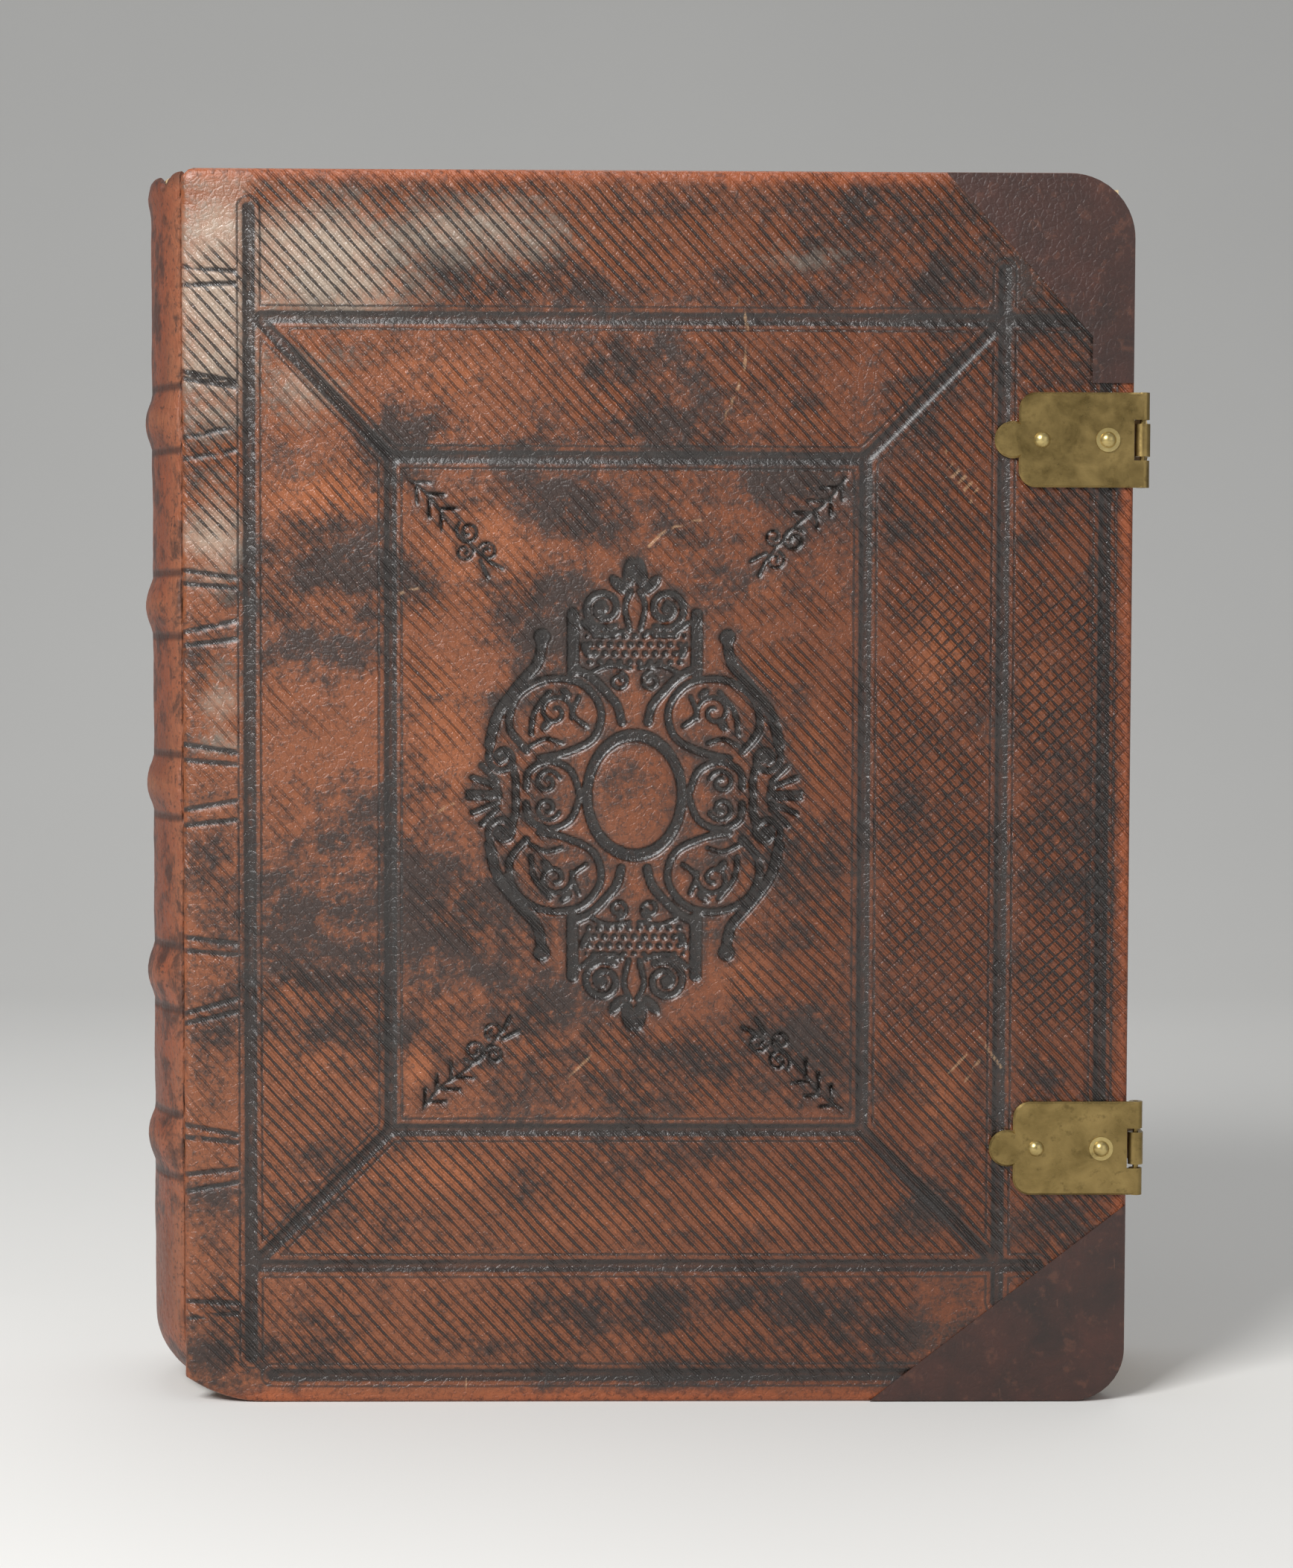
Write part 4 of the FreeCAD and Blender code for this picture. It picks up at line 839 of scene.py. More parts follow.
def choose_edges(piece: bpy.types.Object, wanted: Callable[[Vector], bool]) -> None:
    """Select edges of the piece that is open in edit mode.

    Args:
        piece: the piece.
        wanted: says whether an edge is wanted, from its middle.
    """
    bpy.ops.mesh.select_mode(type="EDGE")
    bpy.ops.mesh.select_all(action="DESELECT")
    mesh = bmesh.from_edit_mesh(piece.data)
    for edge in mesh.edges:
        edge.select_set(wanted((edge.verts[0].co + edge.verts[1].co) / 2))
    bmesh.update_edit_mesh(piece.data)


def turn_outwards(piece: bpy.types.Object, angle: float = 50.0) -> None:
    """Point a closed piece's faces outwards and smooth all but its sharp edges.

    Args:
        piece: the piece.
        angle: edges that turn further than this stay sharp, in degrees.
    """
    edit(piece)
    bpy.ops.mesh.select_all(action="SELECT")
    bpy.ops.mesh.normals_make_consistent(inside=False)
    bpy.ops.object.mode_set(mode="OBJECT")
    bpy.ops.object.shade_smooth_by_angle(angle=math.radians(angle))


def choose_open_edges() -> None:
    """Select the open border of the piece that is in edit mode."""
    bpy.ops.mesh.select_mode(type="EDGE")
    bpy.ops.mesh.select_all(action="DESELECT")
    bpy.ops.mesh.select_non_manifold(extend=False, use_wire=False, use_boundary=True,
                                     use_multi_face=False, use_non_contiguous=False, use_verts=False)


def tube(name: str, rings: np.ndarray) -> bpy.types.Object:
    """Model a closed tube through rings of points.

    Args:
        name: the piece's name.
        rings: places in millimetres, by ring, point and direction.

    Returns:
        The piece, with both ends closed.
    """
    count, around, _ = rings.shape
    piece = flat_grid(name, count - 1, around, count - 1, around)
    steps = np.rint(vertex_places(piece)).astype(int)
    set_places(piece, rings[steps[:, 0], steps[:, 1] % around])
    edit(piece)
    bpy.ops.mesh.select_all(action="SELECT")
    bpy.ops.mesh.remove_doubles(threshold=1e-7)
    choose_open_edges()
    bpy.ops.mesh.fill_holes(sides=0)
    bpy.ops.object.mode_set(mode="OBJECT")
    turn_outwards(piece)
    return piece


def settle(piece: bpy.types.Object, body: str, slot: str, finish: bpy.types.Material,
           *nodes: str) -> None:
    """Hand over a finished piece.

    Args:
        piece: the piece.
        body: the body that it moves with.
        slot: its material slot in the record; not used.
        finish: its material.
        nodes: the frame's nodes that it stands for.
    """
    piece.data.materials.clear()
    piece.data.materials.append(finish)
    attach(piece, body)
    if nodes:
        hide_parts(*nodes)
    LOG.info("%s: %d faces on %s", piece.name, len(piece.data.polygons), body)


def cloud(places: np.ndarray, size: float, seed: float) -> np.ndarray:
    """Read smooth noise at places.

    Args:
        places: the places.
        size: about how far apart its blotches are.
        seed: shifts the noise.

    Returns:
        Numbers between about -1 and 1.
    """
    return np.array([noise.noise(Vector((x / size + seed, y / size, z / size)))
                     for x, y, z in places])


@dataclass
class CoverLeather:
    """The leather of one cover: a tooled skin, and the part turned in round the board."""

    side: Side
    body: str
    node: str
    width: float = 245.0
    height: float = 320.0
    board_outer: float = 31.5
    board_inner: float = 25.5
    lip_face: float = 26.3
    board_start: float = 2.2
    leather: float = 1.5
    turn_in: float = 17.5
    joint_reach: float = 0.75
    tail_radius: float = 14.0
    head_radius: float = 17.0
    wear_reach: float = 20.0
    wear_radius: float = 34.9
    cell: float = 1.65
    rule_depth: float = 0.5
    tie_depth: float = 0.4
    strap_depth: float = 0.85
    oval_rise: float = 0.5
    rim: tuple[Point, ...] = ((1.5, 33.0), (0.62, 32.74), (0.14, 32.15), (0.0, 31.5))
    joint_rim: tuple[Point, ...] = ((3.2, 33.0), (1.45, 32.82), (0.35, 32.35), (0.0, 31.7))

    def foot_rise(self, across: np.ndarray) -> np.ndarray:
        """Return how far the worn tail corner by the spine rises at each reach."""
        run = np.clip(self.wear_reach - across, 0.0, self.wear_reach + self.joint_reach)
        return self.wear_radius - np.sqrt(self.wear_radius ** 2 - run ** 2)

    def fit(self, places: np.ndarray, inset: np.ndarray, joint_inset: np.ndarray) -> np.ndarray:
        """Fit places on the plain rectangle to the cover's rounded outline.

        Args:
            places: shares of the width and height, from 0 to 1.
            inset: how far the outline is drawn in at the three outer sides.
            joint_inset: how far it is drawn in at the joint.

        Returns:
            Places on the cover in millimetres.
        """
        left = joint_inset - self.joint_reach
        right = self.width - inset
        top = self.height - inset
        across = left + (right - left) * places[:, 0]
        upright = inset + (top - inset) * places[:, 1]
        for radius, foot_side in ((self.tail_radius, True), (self.head_radius, False)):
            arc = np.maximum(radius - inset, 0.3)
            centre = right - arc
            level = inset + arc if foot_side else top - arc
            way = -1.0 if foot_side else 1.0
            first = (across - centre) / arc
            second = way * (upright - level) / arc
            corner = (first > 0) & (second > 0)
            first = np.where(corner, first, 1.0)
            second = np.where(corner, second, 1.0)
            long_side = np.maximum(first, second)
            share = np.minimum(first, second) / long_side * math.pi / 4
            angle = np.where(first >= second, share, math.pi / 2 - share)
            across = np.where(corner, centre + arc * long_side * np.cos(angle), across)
            upright = np.where(corner, level + way * arc * long_side * np.sin(angle), upright)
        upright = upright + self.foot_rise(across) * np.clip(1.0 - upright / 30.0, 0.0, 1.0)
        drop = np.clip(1.0 - (across + self.joint_reach) / 3.0, 0.0, 1.0) ** 2
        upright = upright - 2.4 * drop * ease(upright, self.height - 12.0, self.height)
        return np.stack((across, upright), axis=1)

    def build(self) -> tuple[bpy.types.Object, bpy.types.Object]:
        """Model both parts and return the skin and the turned-in part."""
        return self.model_skin(), self.model_turn_in()

    def model_skin(self) -> bpy.types.Object:
        """Model the tooled skin over the board's face.

        Returns:
            The skin.
        """
        skin = flat_grid(f"{self.body}_skin", self.width, self.height,
                         round(self.width / self.cell), round(self.height / self.cell))
        self.refine(skin)
        self.add_rim()
        self.press(skin)
        turn_outwards(skin, 70.0)
        return skin

    def refine(self, skin: bpy.types.Object) -> None:
        """Divide the faces under the tooling more finely, and leave edit mode open.

        Args:
            skin: the plain grid.
        """
        edit(skin)
        places = face_centres(skin)[:, :2]
        broad = distance_to_rules(places, BROAD_RULES) < 1.9
        ties = distance_to_rules(places, tie_rules()) < 1.2
        choose_faces(skin, broad | ties)
        bpy.ops.mesh.subdivide(number_cuts=1)
        if self.side is Side.FRONT:
            places = face_centres(skin)[:, :2]
            folded = np.abs(places - np.array(ORNAMENT_CENTRE))
            close = np.hypot(folded[:, 0] / 46.0, folded[:, 1] / 62.0) < 1.0
            close &= ornament_distance(places) < 2.2
            choose_faces(skin, close | (sprig_distance(places) < 1.2))
            bpy.ops.mesh.subdivide(number_cuts=2)

    def add_rim(self) -> None:
        """Extrude the border down in steps and close the underside."""
        choose_open_edges()
        for _ in self.rim[1:]:
            bpy.ops.mesh.extrude_region_move(TRANSFORM_OT_translate={"value": (0.0, 0.0, -1.0)})
        bpy.ops.mesh.edge_face_add()
        bpy.ops.object.mode_set(mode="OBJECT")

    def press(self, skin: bpy.types.Object) -> None:
        """Fit the skin to the outline, press the tooling into it and store its marks.

        Args:
            skin: the grid, with its border extruded.
        """
        flat = vertex_places(skin)
        level = np.rint(-flat[:, 2]).astype(int)
        shares = flat[:, :2] / np.array((self.width, self.height))
        at_joint = shares[:, 0] < 1e-4
        inset = np.array(self.rim)[level, 0]
        joint_inset = np.array(self.joint_rim)[level, 0]
        depth = np.where(at_joint, np.array(self.joint_rim)[level, 1], np.array(self.rim)[level, 1])
        cover = self.fit(shares, inset, joint_inset)
        solid = np.stack((cover[:, 0], np.full(len(cover), 7.0 * self.side.value), cover[:, 1]), axis=1)
        broad = distance_to_rules(cover, BROAD_RULES)
        fine = distance_to_rules(cover, FINE_RULES)
        ties = distance_to_rules(cover, tie_rules())
        strap = np.full(len(cover), 9.0)
        if self.side is Side.FRONT:
            strap = np.minimum(ornament_distance(cover), sprig_distance(cover) + 0.1)
        pressed = self.rule_depth * (1.0 - ease(broad, 0.75, 1.6))
        pressed -= 0.12 * np.exp(-((broad - 2.1) / 0.6) ** 2)
        pressed += (self.tie_depth * (1.0 - ease(ties, 0.25, 0.95))
                    - 0.18 * np.exp(-((ties - 1.4) / 0.5) ** 2))
        pressed += self.strap_depth * (1.0 - ease(strap, -0.45, 0.3))
        if self.side is Side.FRONT:
            folded = np.abs(cover - np.array(ORNAMENT_CENTRE))
            dome = 1.0 - np.hypot(folded[:, 0] / 10.9, folded[:, 1] / 14.0)
            pressed -= self.oval_rise * ease(dome, 0.0, 0.5)
        pressed += 0.22 * cloud(solid, 46.0, 3.0) + 0.1 * cloud(solid, 15.0, 9.0)
        pressed += 0.05 * cloud(solid, 5.0, 17.0)
        border = np.minimum(self.width - cover[:, 0], cover[:, 1])
        border = np.minimum(border, self.height - cover[:, 1])
        pressed *= np.where(level == 0, ease(border, 0.0, 4.0) * 0.9 + 0.1, 0.0)
        pressed = np.clip(pressed, -0.3, 1.2)
        places = solid.copy()
        places[:, 0] += JOINT_LINE
        places[:, 1] = self.side.value * (depth - pressed - 0.12 * (level == 0))
        set_places(skin, places)
        self.mark(skin, cover, border, broad, fine, ties, strap)

    def mark(self, skin: bpy.types.Object, cover: np.ndarray, border: np.ndarray, broad: np.ndarray,
             fine: np.ndarray, ties: np.ndarray, strap: np.ndarray) -> None:
        """Store the distances and patches that the finish reads.

        Args:
            skin: the finished skin.
            cover: its vertices' places on the cover.
            border: their distances from the outer sides.
            broad: their distances from the broad rules.
            fine: their distances from the fine rules.
            ties: their distances from the ties at the spine.
            strap: their distances from the ornaments' edges.
        """
        store(skin, "broad_rule", broad)
        store(skin, "fine_rule", np.minimum(fine, np.abs(broad - 2.9)))
        store(skin, "tie_rule", ties)
        store(skin, "strap", strap)
        front = self.side is Side.FRONT
        around = cover if front else np.abs(cover * np.array((1.0, -1.0)) + np.array((-12.0, 326.0)))
        scratch = np.full(len(cover), 9.0)
        for points in SCRATCHES if front else ():
            scratch = np.minimum(scratch, distance_to_line(cover, smooth_line(points)))
        store(skin, "scratch", scratch)
        store(skin, "stain", blob_share(around, STAINS))
        store(skin, "rub", blob_share(around, RUBS))
        # Strength of the painted glare, on the front cover only.
        store(skin, "painted_glare", blob_share(cover, PAINTED_GLARES) if front else np.zeros(len(cover)))
        store(skin, "hatch", hatch_share(cover) if front else 0.3 * hatch_share(cover))
        store(skin, "cross", cross_share(cover) if front else np.zeros(len(cover)))
        store(skin, "border", np.minimum(border, cover[:, 0] + 4.0))

    def model_turn_in(self) -> bpy.types.Object:
        """Model the leather over the board's outer edges and its turned-in lip.

        Returns:
            The turned-in part.
        """
        section = ((0.0, self.board_outer + 0.06), (0.0, self.board_inner + 1.7),
                   (0.16, self.board_inner + 0.9), (0.62, self.board_inner + 0.26),
                   (1.5, self.board_inner), (self.turn_in - 0.5, self.board_inner),
                   (self.turn_in, self.board_inner + 0.3), (self.turn_in, self.lip_face),
                   (self.leather, self.lip_face), (self.leather, self.board_outer + 0.06))
        rings = [self.edge_points(inset, depth) for inset, depth in section]
        piece = tube(f"{self.body}_turn_in", np.array(rings).transpose(1, 0, 2))
        return piece

    def edge_points(self, inset: float, depth: float) -> np.ndarray:
        """Run round the three outer sides, from the tail by the joint to the head.

        Args:
            inset: how far inside the cover's outline.
            depth: the distance from the middle of the book.

        Returns:
            The points of the run in millimetres.
        """
        runs = []
        tail = max(self.tail_radius - inset, 0.3)
        head = max(self.head_radius - inset, 0.3)
        right = self.width - inset
        top = self.height - inset
        for across in np.linspace(self.board_start, self.width - self.tail_radius, 90):
            runs.append((across, inset + float(self.foot_rise(np.array([across]))[0])))
        for angle in np.radians(np.linspace(-84.0, -6.0, 12)):
            runs.append((right - tail + tail * math.cos(angle), inset + tail + tail * math.sin(angle)))
        for upright in np.linspace(self.tail_radius, self.height - self.head_radius, 110):
            runs.append((right, upright))
        for angle in np.radians(np.linspace(6.0, 84.0, 12)):
            runs.append((right - head + head * math.cos(angle), top - head + head * math.sin(angle)))
        for across in np.linspace(self.width - self.head_radius, self.board_start, 90):
            runs.append((across, top))
        return np.array([(across + JOINT_LINE, self.side.value * depth, upright)
                         for across, upright in runs])


@dataclass
class SpineLeather:
    """The leather moulded over the back of the pages and the five cords."""

    centre: float = 40.60
    outside: float = 52.6
    bore: float = 51.1
    band_rise: float = 1.8
    half_band: float = 7.0
    cord_rise: float = 1.25
    half_cord: float = 5.2
    sweep: float = 37.3
    curl_centre: float = 33.9
    curl_height: float = 20.0
    curl_angle: float = 52.0
    top: float = 319.2
    side_depth: float = 31.45
    slices: int = 60

    def outline(self, angle: float) -> list[tuple[float, float, float]]:
        """Draw the section at one angle.

        Args:
            angle: the angle round the spine, in degrees.

        Returns:
            Points as radius, height, and 1 outside or 0 inside.
        """
        taper = 1.0 - 0.75 * float(ease(np.array([abs(angle)]), 25.0, 37.0)[0])
        torn = 3.2 * math.exp(-((angle + 27.5) / 3.4) ** 2)
        points = []
        for turned in np.linspace(self.curl_angle, 4.0, 12):
            reach = self.outside - self.curl_centre
            points.append((self.curl_centre + reach * math.cos(math.radians(turned)),
                           self.curl_height - reach * math.sin(math.radians(turned)), 1.0))
        for height in np.linspace(self.curl_height, self.top - 0.9 - torn, 186):
            rise = sum(self.band_rise * max(0.0, 1.0 - ((height - band) / self.half_band) ** 2) ** 1.3
                       for band in BAND_HEIGHTS)
            cap = 0.8 * math.exp(-((height - 315.0) / 3.0) ** 2)
            points.append((self.outside + (rise + cap) * taper, height, 1.0))
        points.append((self.outside - 0.25, self.top - 0.3 - torn, 1.0))
        points.append((self.outside - 0.75, self.top - torn, 1.0))
        points.append((self.bore + 0.15, self.top - 0.35 - torn, 0.0))
        for height in np.linspace(self.top - 1.2 - torn, self.curl_height, 120):
            rise = sum(self.cord_rise * max(0.0, 1.0 - ((height - band) / self.half_cord) ** 2)
                       for band in BAND_HEIGHTS)
            points.append((self.bore + rise, height, 0.0))
        for turned in np.linspace(4.0, self.curl_angle, 12):
            reach = self.bore - self.curl_centre
            points.append((self.curl_centre + reach * math.cos(math.radians(turned)),
                           self.curl_height - reach * math.sin(math.radians(turned)), 0.0))
        return points

    def build(self) -> bpy.types.Object:
        """Model the leather with its bands, worn headcap and curled tail.

        Returns:
            The leather.
        """
        rings = []
        for angle in np.linspace(-self.sweep, self.sweep, self.slices):
            ring = []
            for radius, height, outside in self.outline(float(angle)):
                turned = math.radians(angle)
                rough = noise.noise(Vector((angle / 9.0, height / 14.0, 4.0))) * 0.28
                rough += noise.noise(Vector((angle / 3.0, height / 4.0, 8.0))) * 0.1
                radius += rough * outside
                depth = radius * math.sin(turned)
                across = self.centre - radius * math.cos(turned)
                if height < self.curl_height and across > 1.4:
                    depth = max(-24.6, min(24.6, depth))
                depth = max(-self.side_depth, min(self.side_depth, depth))
                ring.append((across + JOINT_LINE, depth, height))
            rings.append(ring)
        piece = tube("spine_leather_skin", np.array(rings))
        places = vertex_places(piece) / MM
        band = np.min([np.abs(places[:, 2] - height) for height in BAND_HEIGHTS], axis=0)
        store(piece, "band", band)
        store(piece, "joint", 33.0 - np.abs(places[:, 1]))
        store(piece, "head", 320.0 - places[:, 2])
        return piece


@dataclass
class CornerPatch:
    """A plain leather patch over one corner of the front cover, thinned at its edges."""

    name: str
    corners: tuple[Point, ...]
    arc_from: int
    radius: float
    face: float = 33.0
    thickness: float = 0.55
    skive: float = 1.1

    def outline(self) -> list[Point]:
        """Draw the patch's outline with its outer corner rounded.

        Returns:
            The outline's points.
        """
        points = []
        for index, (across, upright) in enumerate(self.corners):
            if index != self.arc_from:
                points.append((across, upright))
                continue
            before = Vector(self.corners[index - 1])
            after = Vector(self.corners[(index + 1) % len(self.corners)])
            corner = Vector((across, upright))
            start = corner + (before - corner).normalized() * self.radius
            end = corner + (after - corner).normalized() * self.radius
            centre = start + end - corner
            for share in np.linspace(0.0, 1.0, 13):
                aim = (start.lerp(end, share) - centre).normalized()
                points.append(tuple(centre + aim * self.radius))
        return points

    def build(self) -> bpy.types.Object:
        """Model the patch from a ring of points, thickened and bevelled.

        Returns:
            The patch.
        """
        points = self.outline()
        clear_selection()
        bpy.ops.mesh.primitive_circle_add(vertices=len(points), fill_type="NGON",
                                          location=(0.0, 0.0, 0.0))
        piece = bpy.context.object
        piece.name = self.name
        set_places(piece, np.array([(across + JOINT_LINE, -self.face + 0.25, upright)
                                    for across, upright in points]))
        edit(piece)
        bpy.ops.mesh.select_all(action="SELECT")
        bpy.ops.mesh.extrude_region_move(
            TRANSFORM_OT_translate={"value": (0.0, -(self.thickness + 0.1) * MM, 0.0)})
        bpy.ops.mesh.inset(thickness=self.skive * MM, depth=0.0)
        bpy.ops.transform.translate(value=(0.0, -0.15 * MM, 0.0))
        bpy.ops.object.mode_set(mode="OBJECT")
        turn_outwards(piece, 80.0)
        return piece


@dataclass
class EndBand:
    """A band of wound thread at one end of the pages."""

    name: str
    node: str
    radius: float
    height: float
    thick: float
    reach: float = 28.6
    centre: float = 40.60
    turns: int = 62

    def build(self) -> bpy.types.Object:
        """Model the wound roll, one ridge for each turn of thread.

        Returns:
            The band.
        """
        rings = []
        count = self.turns * 4
        for step in range(count + 1):
            angle = math.radians(-self.reach + 2 * self.reach * step / count)
            swell = self.thick / 2 * (0.94 + 0.06 * math.cos(2 * math.pi * step / 4))
            ring = []
            for part in range(12):
                lean = 2 * math.pi * part / 12
                radius = self.radius + swell * math.cos(lean)
                ring.append((self.centre - radius * math.cos(angle) + JOINT_LINE,
                             radius * math.sin(angle), self.height + swell * math.sin(lean)))
            rings.append(ring)
        piece = tube(self.name, np.array(rings))
        places = vertex_places(piece) / MM
        turned = np.degrees(np.arctan2(places[:, 1], self.centre + JOINT_LINE - places[:, 0]))
        store(piece, "wound", (turned + self.reach) / (2 * self.reach) * self.turns)
        return piece


# Finishes


@dataclass(frozen=True)
class ToolingMarks:
    """The drawn marks on a cover's leather, as shader signals."""

    groove: Signal
    hatch: Signal
    strap: Signal
    height: Signal


@dataclass(frozen=True)
class CoverFinish:
    """Brown calf, mottled and rubbed, with dark burnished tooling."""

    name: str = "cover_leather"
    left: Colour = tint(126, 70, 38)
    right: Colour = tint(102, 50, 18)
    dark: Colour = tint(40, 27, 21)
    charcoal: Colour = tint(24, 20, 18)
    burnish: Colour = tint(58, 51, 46)
    orange: Colour = tint(172, 98, 54)
    # Colour of the painted glare highlight.
    glare_highlight: Colour = tint(178, 160, 142)
    pitch: float = 2.75

    def lines(self, graph: Graph, along: Signal, warp: Signal) -> Signal:
        """Draw thin parallel lines, uneven as cut by hand.

        Args:
            graph: the material's graph.
            along: the distance across the lines, in millimetres.
            warp: bends the lines.

        Returns:
            The distance from the nearest line, as a share of the pitch.
        """
        phase = (along + (warp - 0.5) * 2.4) / self.pitch
        number = phase.math("FLOOR")
        spread = graph.node("ShaderNodeTexWhiteNoise", {"noise_dimensions": "1D"}, {"W": number})
        inside = phase.math("FRACT")
        centre = 0.38 + spread * 0.24
        return inside.math("SUBTRACT", centre).math("ABSOLUTE")

    def marks(self, graph: Graph, place: Signal) -> ToolingMarks:
        """Draw the tooling.

        Args:
            graph: the material's graph.
            place: the place on the cover in millimetres.

        Returns:
            The pressed lines, hatching and straps.
        """
        across, _, upright = graph.parts(place)
        warp = graph.noise(place, 38.0, 2.0)
        fade = graph.noise(place, 17.0, 3.0)
        nibble = graph.noise(place, 2.6, 3.0)
        slant = across * 0.731 + upright * 0.682
        lean = across * -0.682 + upright * 0.731
        first = self.lines(graph, slant, warp)
        second = self.lines(graph, lean * 0.94, warp)
        share = (graph.attribute("hatch") * 1.5 + fade * 2.4 - 1.35).clamp()
        crossed = (graph.attribute("cross") * 1.4 + fade * 2.0 - 1.3).clamp()
        wide = nibble * 0.24 + 0.04
        hatch = (wide - first).smooth(0.0, 0.12) * share
        hatch = hatch.math("MAXIMUM", (wide - second).smooth(0.0, 0.12) * crossed)
        ridge = (first - 0.2).smooth(0.0, 0.22) * share
        broad = (graph.attribute("broad_rule") + (nibble - 0.5) * 0.5) / 4.0
        groove = broad.curve(((0.0, 0.72), (0.1, 0.8), (0.22, 1.0), (0.36, 0.95), (0.47, 0.25),
                              (0.62, 0.1), (0.7, 0.75), (0.78, 0.7), (0.86, 0.0), (1.0, 0.0)))
        fine = (graph.attribute("fine_rule") + (nibble - 0.5) * 0.25).smooth(0.55, 0.15)
        fine = fine * (fade * 1.8 - 0.35).clamp()
        ties = (graph.attribute("tie_rule") + (nibble - 0.5) * 0.3).smooth(1.0, 0.35)
        strap = (graph.attribute("strap") + (nibble - 0.5) * 0.35).smooth(0.35, -0.25)
        groove = groove.math("MAXIMUM", fine * 0.75).math("MAXIMUM", ties * 0.95)
        height = ridge * 0.45 - hatch * 0.55 - fine * 0.3 - ties * 0.15 - strap * 0.15
        return ToolingMarks(groove, hatch, strap, height)

    def material(self) -> bpy.types.Material:
        """Build the material.

        Returns:
            The material.
        """
        graph = Graph(self.name)
        place = graph.position()
        across, _, _ = graph.parts(place)
        marks = self.marks(graph, place)
        large = graph.noise(place, 42.0, 5.0, 0.62, 0.6)
        middle = graph.noise(place, 11.0, 5.0, 0.65, 0.4)
        small = graph.noise(place, 1.7, 4.0, 0.7)
        streak = graph.noise(graph.stretch(place, (0.25, 1.0, 1.0)), 9.0, 4.0, 0.6)
        pores = graph.noise(place, 0.55, 2.0, 0.6)
        cracks = graph.cracks(place, 2.1)
        stain = graph.attribute("stain")
        rub = graph.attribute("rub")
        border = graph.attribute("border") + (middle - 0.5) * 5.0
        base = graph.mix(across.smooth(-90.0, 90.0), self.left, self.right)
        rubbed = (rub * 1.1 + large - 0.95 + (small - 0.5) * 0.5).clamp()
        base = graph.mix(rubbed * 0.9, base, self.orange)
        murk = (stain * 0.8 + (large - 0.5) * 2.8 + (middle - 0.5) * 2.4 + (streak - 0.5) * 1.8
                + (small - 0.5) * 1.6 - rub * 0.35 + 0.22).smooth(0.0, 1.05)
        base = graph.mix(murk * 0.95, base, self.dark)
        speck = (small * 0.6 + pores * 0.4 - 0.49).smooth(0.0, 0.14)
        base = graph.mix(speck * 0.55, base, self.dark)
        halo = graph.attribute("strap").smooth(2.6, 0.0) * (middle * 2.4 - 0.5).clamp()
        base = graph.mix(halo * 0.75, base, self.dark)
        fleck = (0.42 - small).smooth(0.0, 0.16) * 0.3
        base = graph.mix(fleck, base, self.orange)
        # Painted highlight: a pale silvery glare mixed into the colour at the upper left, with less
        # roughness there.
        painted_glare = graph.attribute("painted_glare") * 1.5 + (streak - 0.5) * 1.4 + (small - 0.5) * 0.8
        painted_glare = (painted_glare - 0.35).clamp()
        base = graph.mix(painted_glare * 0.78, base, self.glare_highlight)
        base = graph.mix(marks.hatch * 0.92, base, self.charcoal)
        black = graph.mix((middle - 0.35).clamp(), self.charcoal, self.burnish)
        base = graph.mix((marks.groove * (streak * 0.8 + 0.7)).clamp() * 0.95, base, black)
        base = graph.mix((marks.strap * (small * 0.5 + 0.72)).clamp(), base, black)
        scratch = graph.attribute("scratch").smooth(0.62, 0.2) * (pores * 1.6 - 0.2).clamp()
        base = graph.mix(scratch * 0.6, base, tint(200, 160, 120))
        worn = border.smooth(4.6, 1.2) * (large * 1.6 - 0.2).clamp()
        base = graph.mix(worn * 0.85, base, tint(164, 84, 44))
        nick = worn * (small - 0.5).smooth(0.02, 0.12)
        base = graph.mix(nick * 0.8, base, tint(58, 30, 20))
        height = marks.height + middle * 0.4 + small * 0.3 + pores * 0.08 + streak * 0.2
        height = height + cracks.smooth(0.0, 0.16) * 0.07 - scratch * 0.05
        rough = 0.36 + (small - 0.5) * 0.5 + murk * 0.06 + worn * 0.2 - marks.strap * 0.1
        rough = rough - marks.groove * 0.06 - painted_glare * 0.14
        coat = (0.4 - worn * 0.4 - (small - 0.5) * 0.5).clamp()
        graph.surface(base, rough.clamp(), height, coat=coat,
                      fixed={"Coat Roughness": 0.3, "Specular IOR Level": 0.5})
        return graph.material


@dataclass(frozen=True)
class EdgeFinish:
    """The turned leather of a cover's edges, rubbed to orange."""

    name: str = "edge_leather"

    def material(self) -> bpy.types.Material:
        """Build the material.

        Returns:
            The material.
        """
        graph = Graph(self.name)
        place = graph.position()
        large = graph.noise(place, 26.0, 4.0, 0.6, 0.5)
        middle = graph.noise(place, 5.0, 4.0, 0.68)
        small = graph.noise(place, 1.0, 3.0, 0.7)
        base = graph.mix((large * 2.0 - 0.5).clamp(), tint(150, 82, 44), tint(90, 53, 32))
        base = graph.mix((middle - 0.52).smooth(0.0, 0.14) * 0.7, base, tint(52, 30, 22))
        base = graph.mix((0.42 - small).smooth(0.0, 0.1) * 0.35, base, tint(186, 112, 70))
        height = middle * 0.2 + small * 0.16 + graph.cracks(place, 2.0).smooth(0.0, 0.2) * 0.06
        graph.surface(base, (0.5 + (small - 0.5) * 0.3).clamp(), height, coat=0.1,
                      fixed={"Coat Roughness": 0.35})
        return graph.material


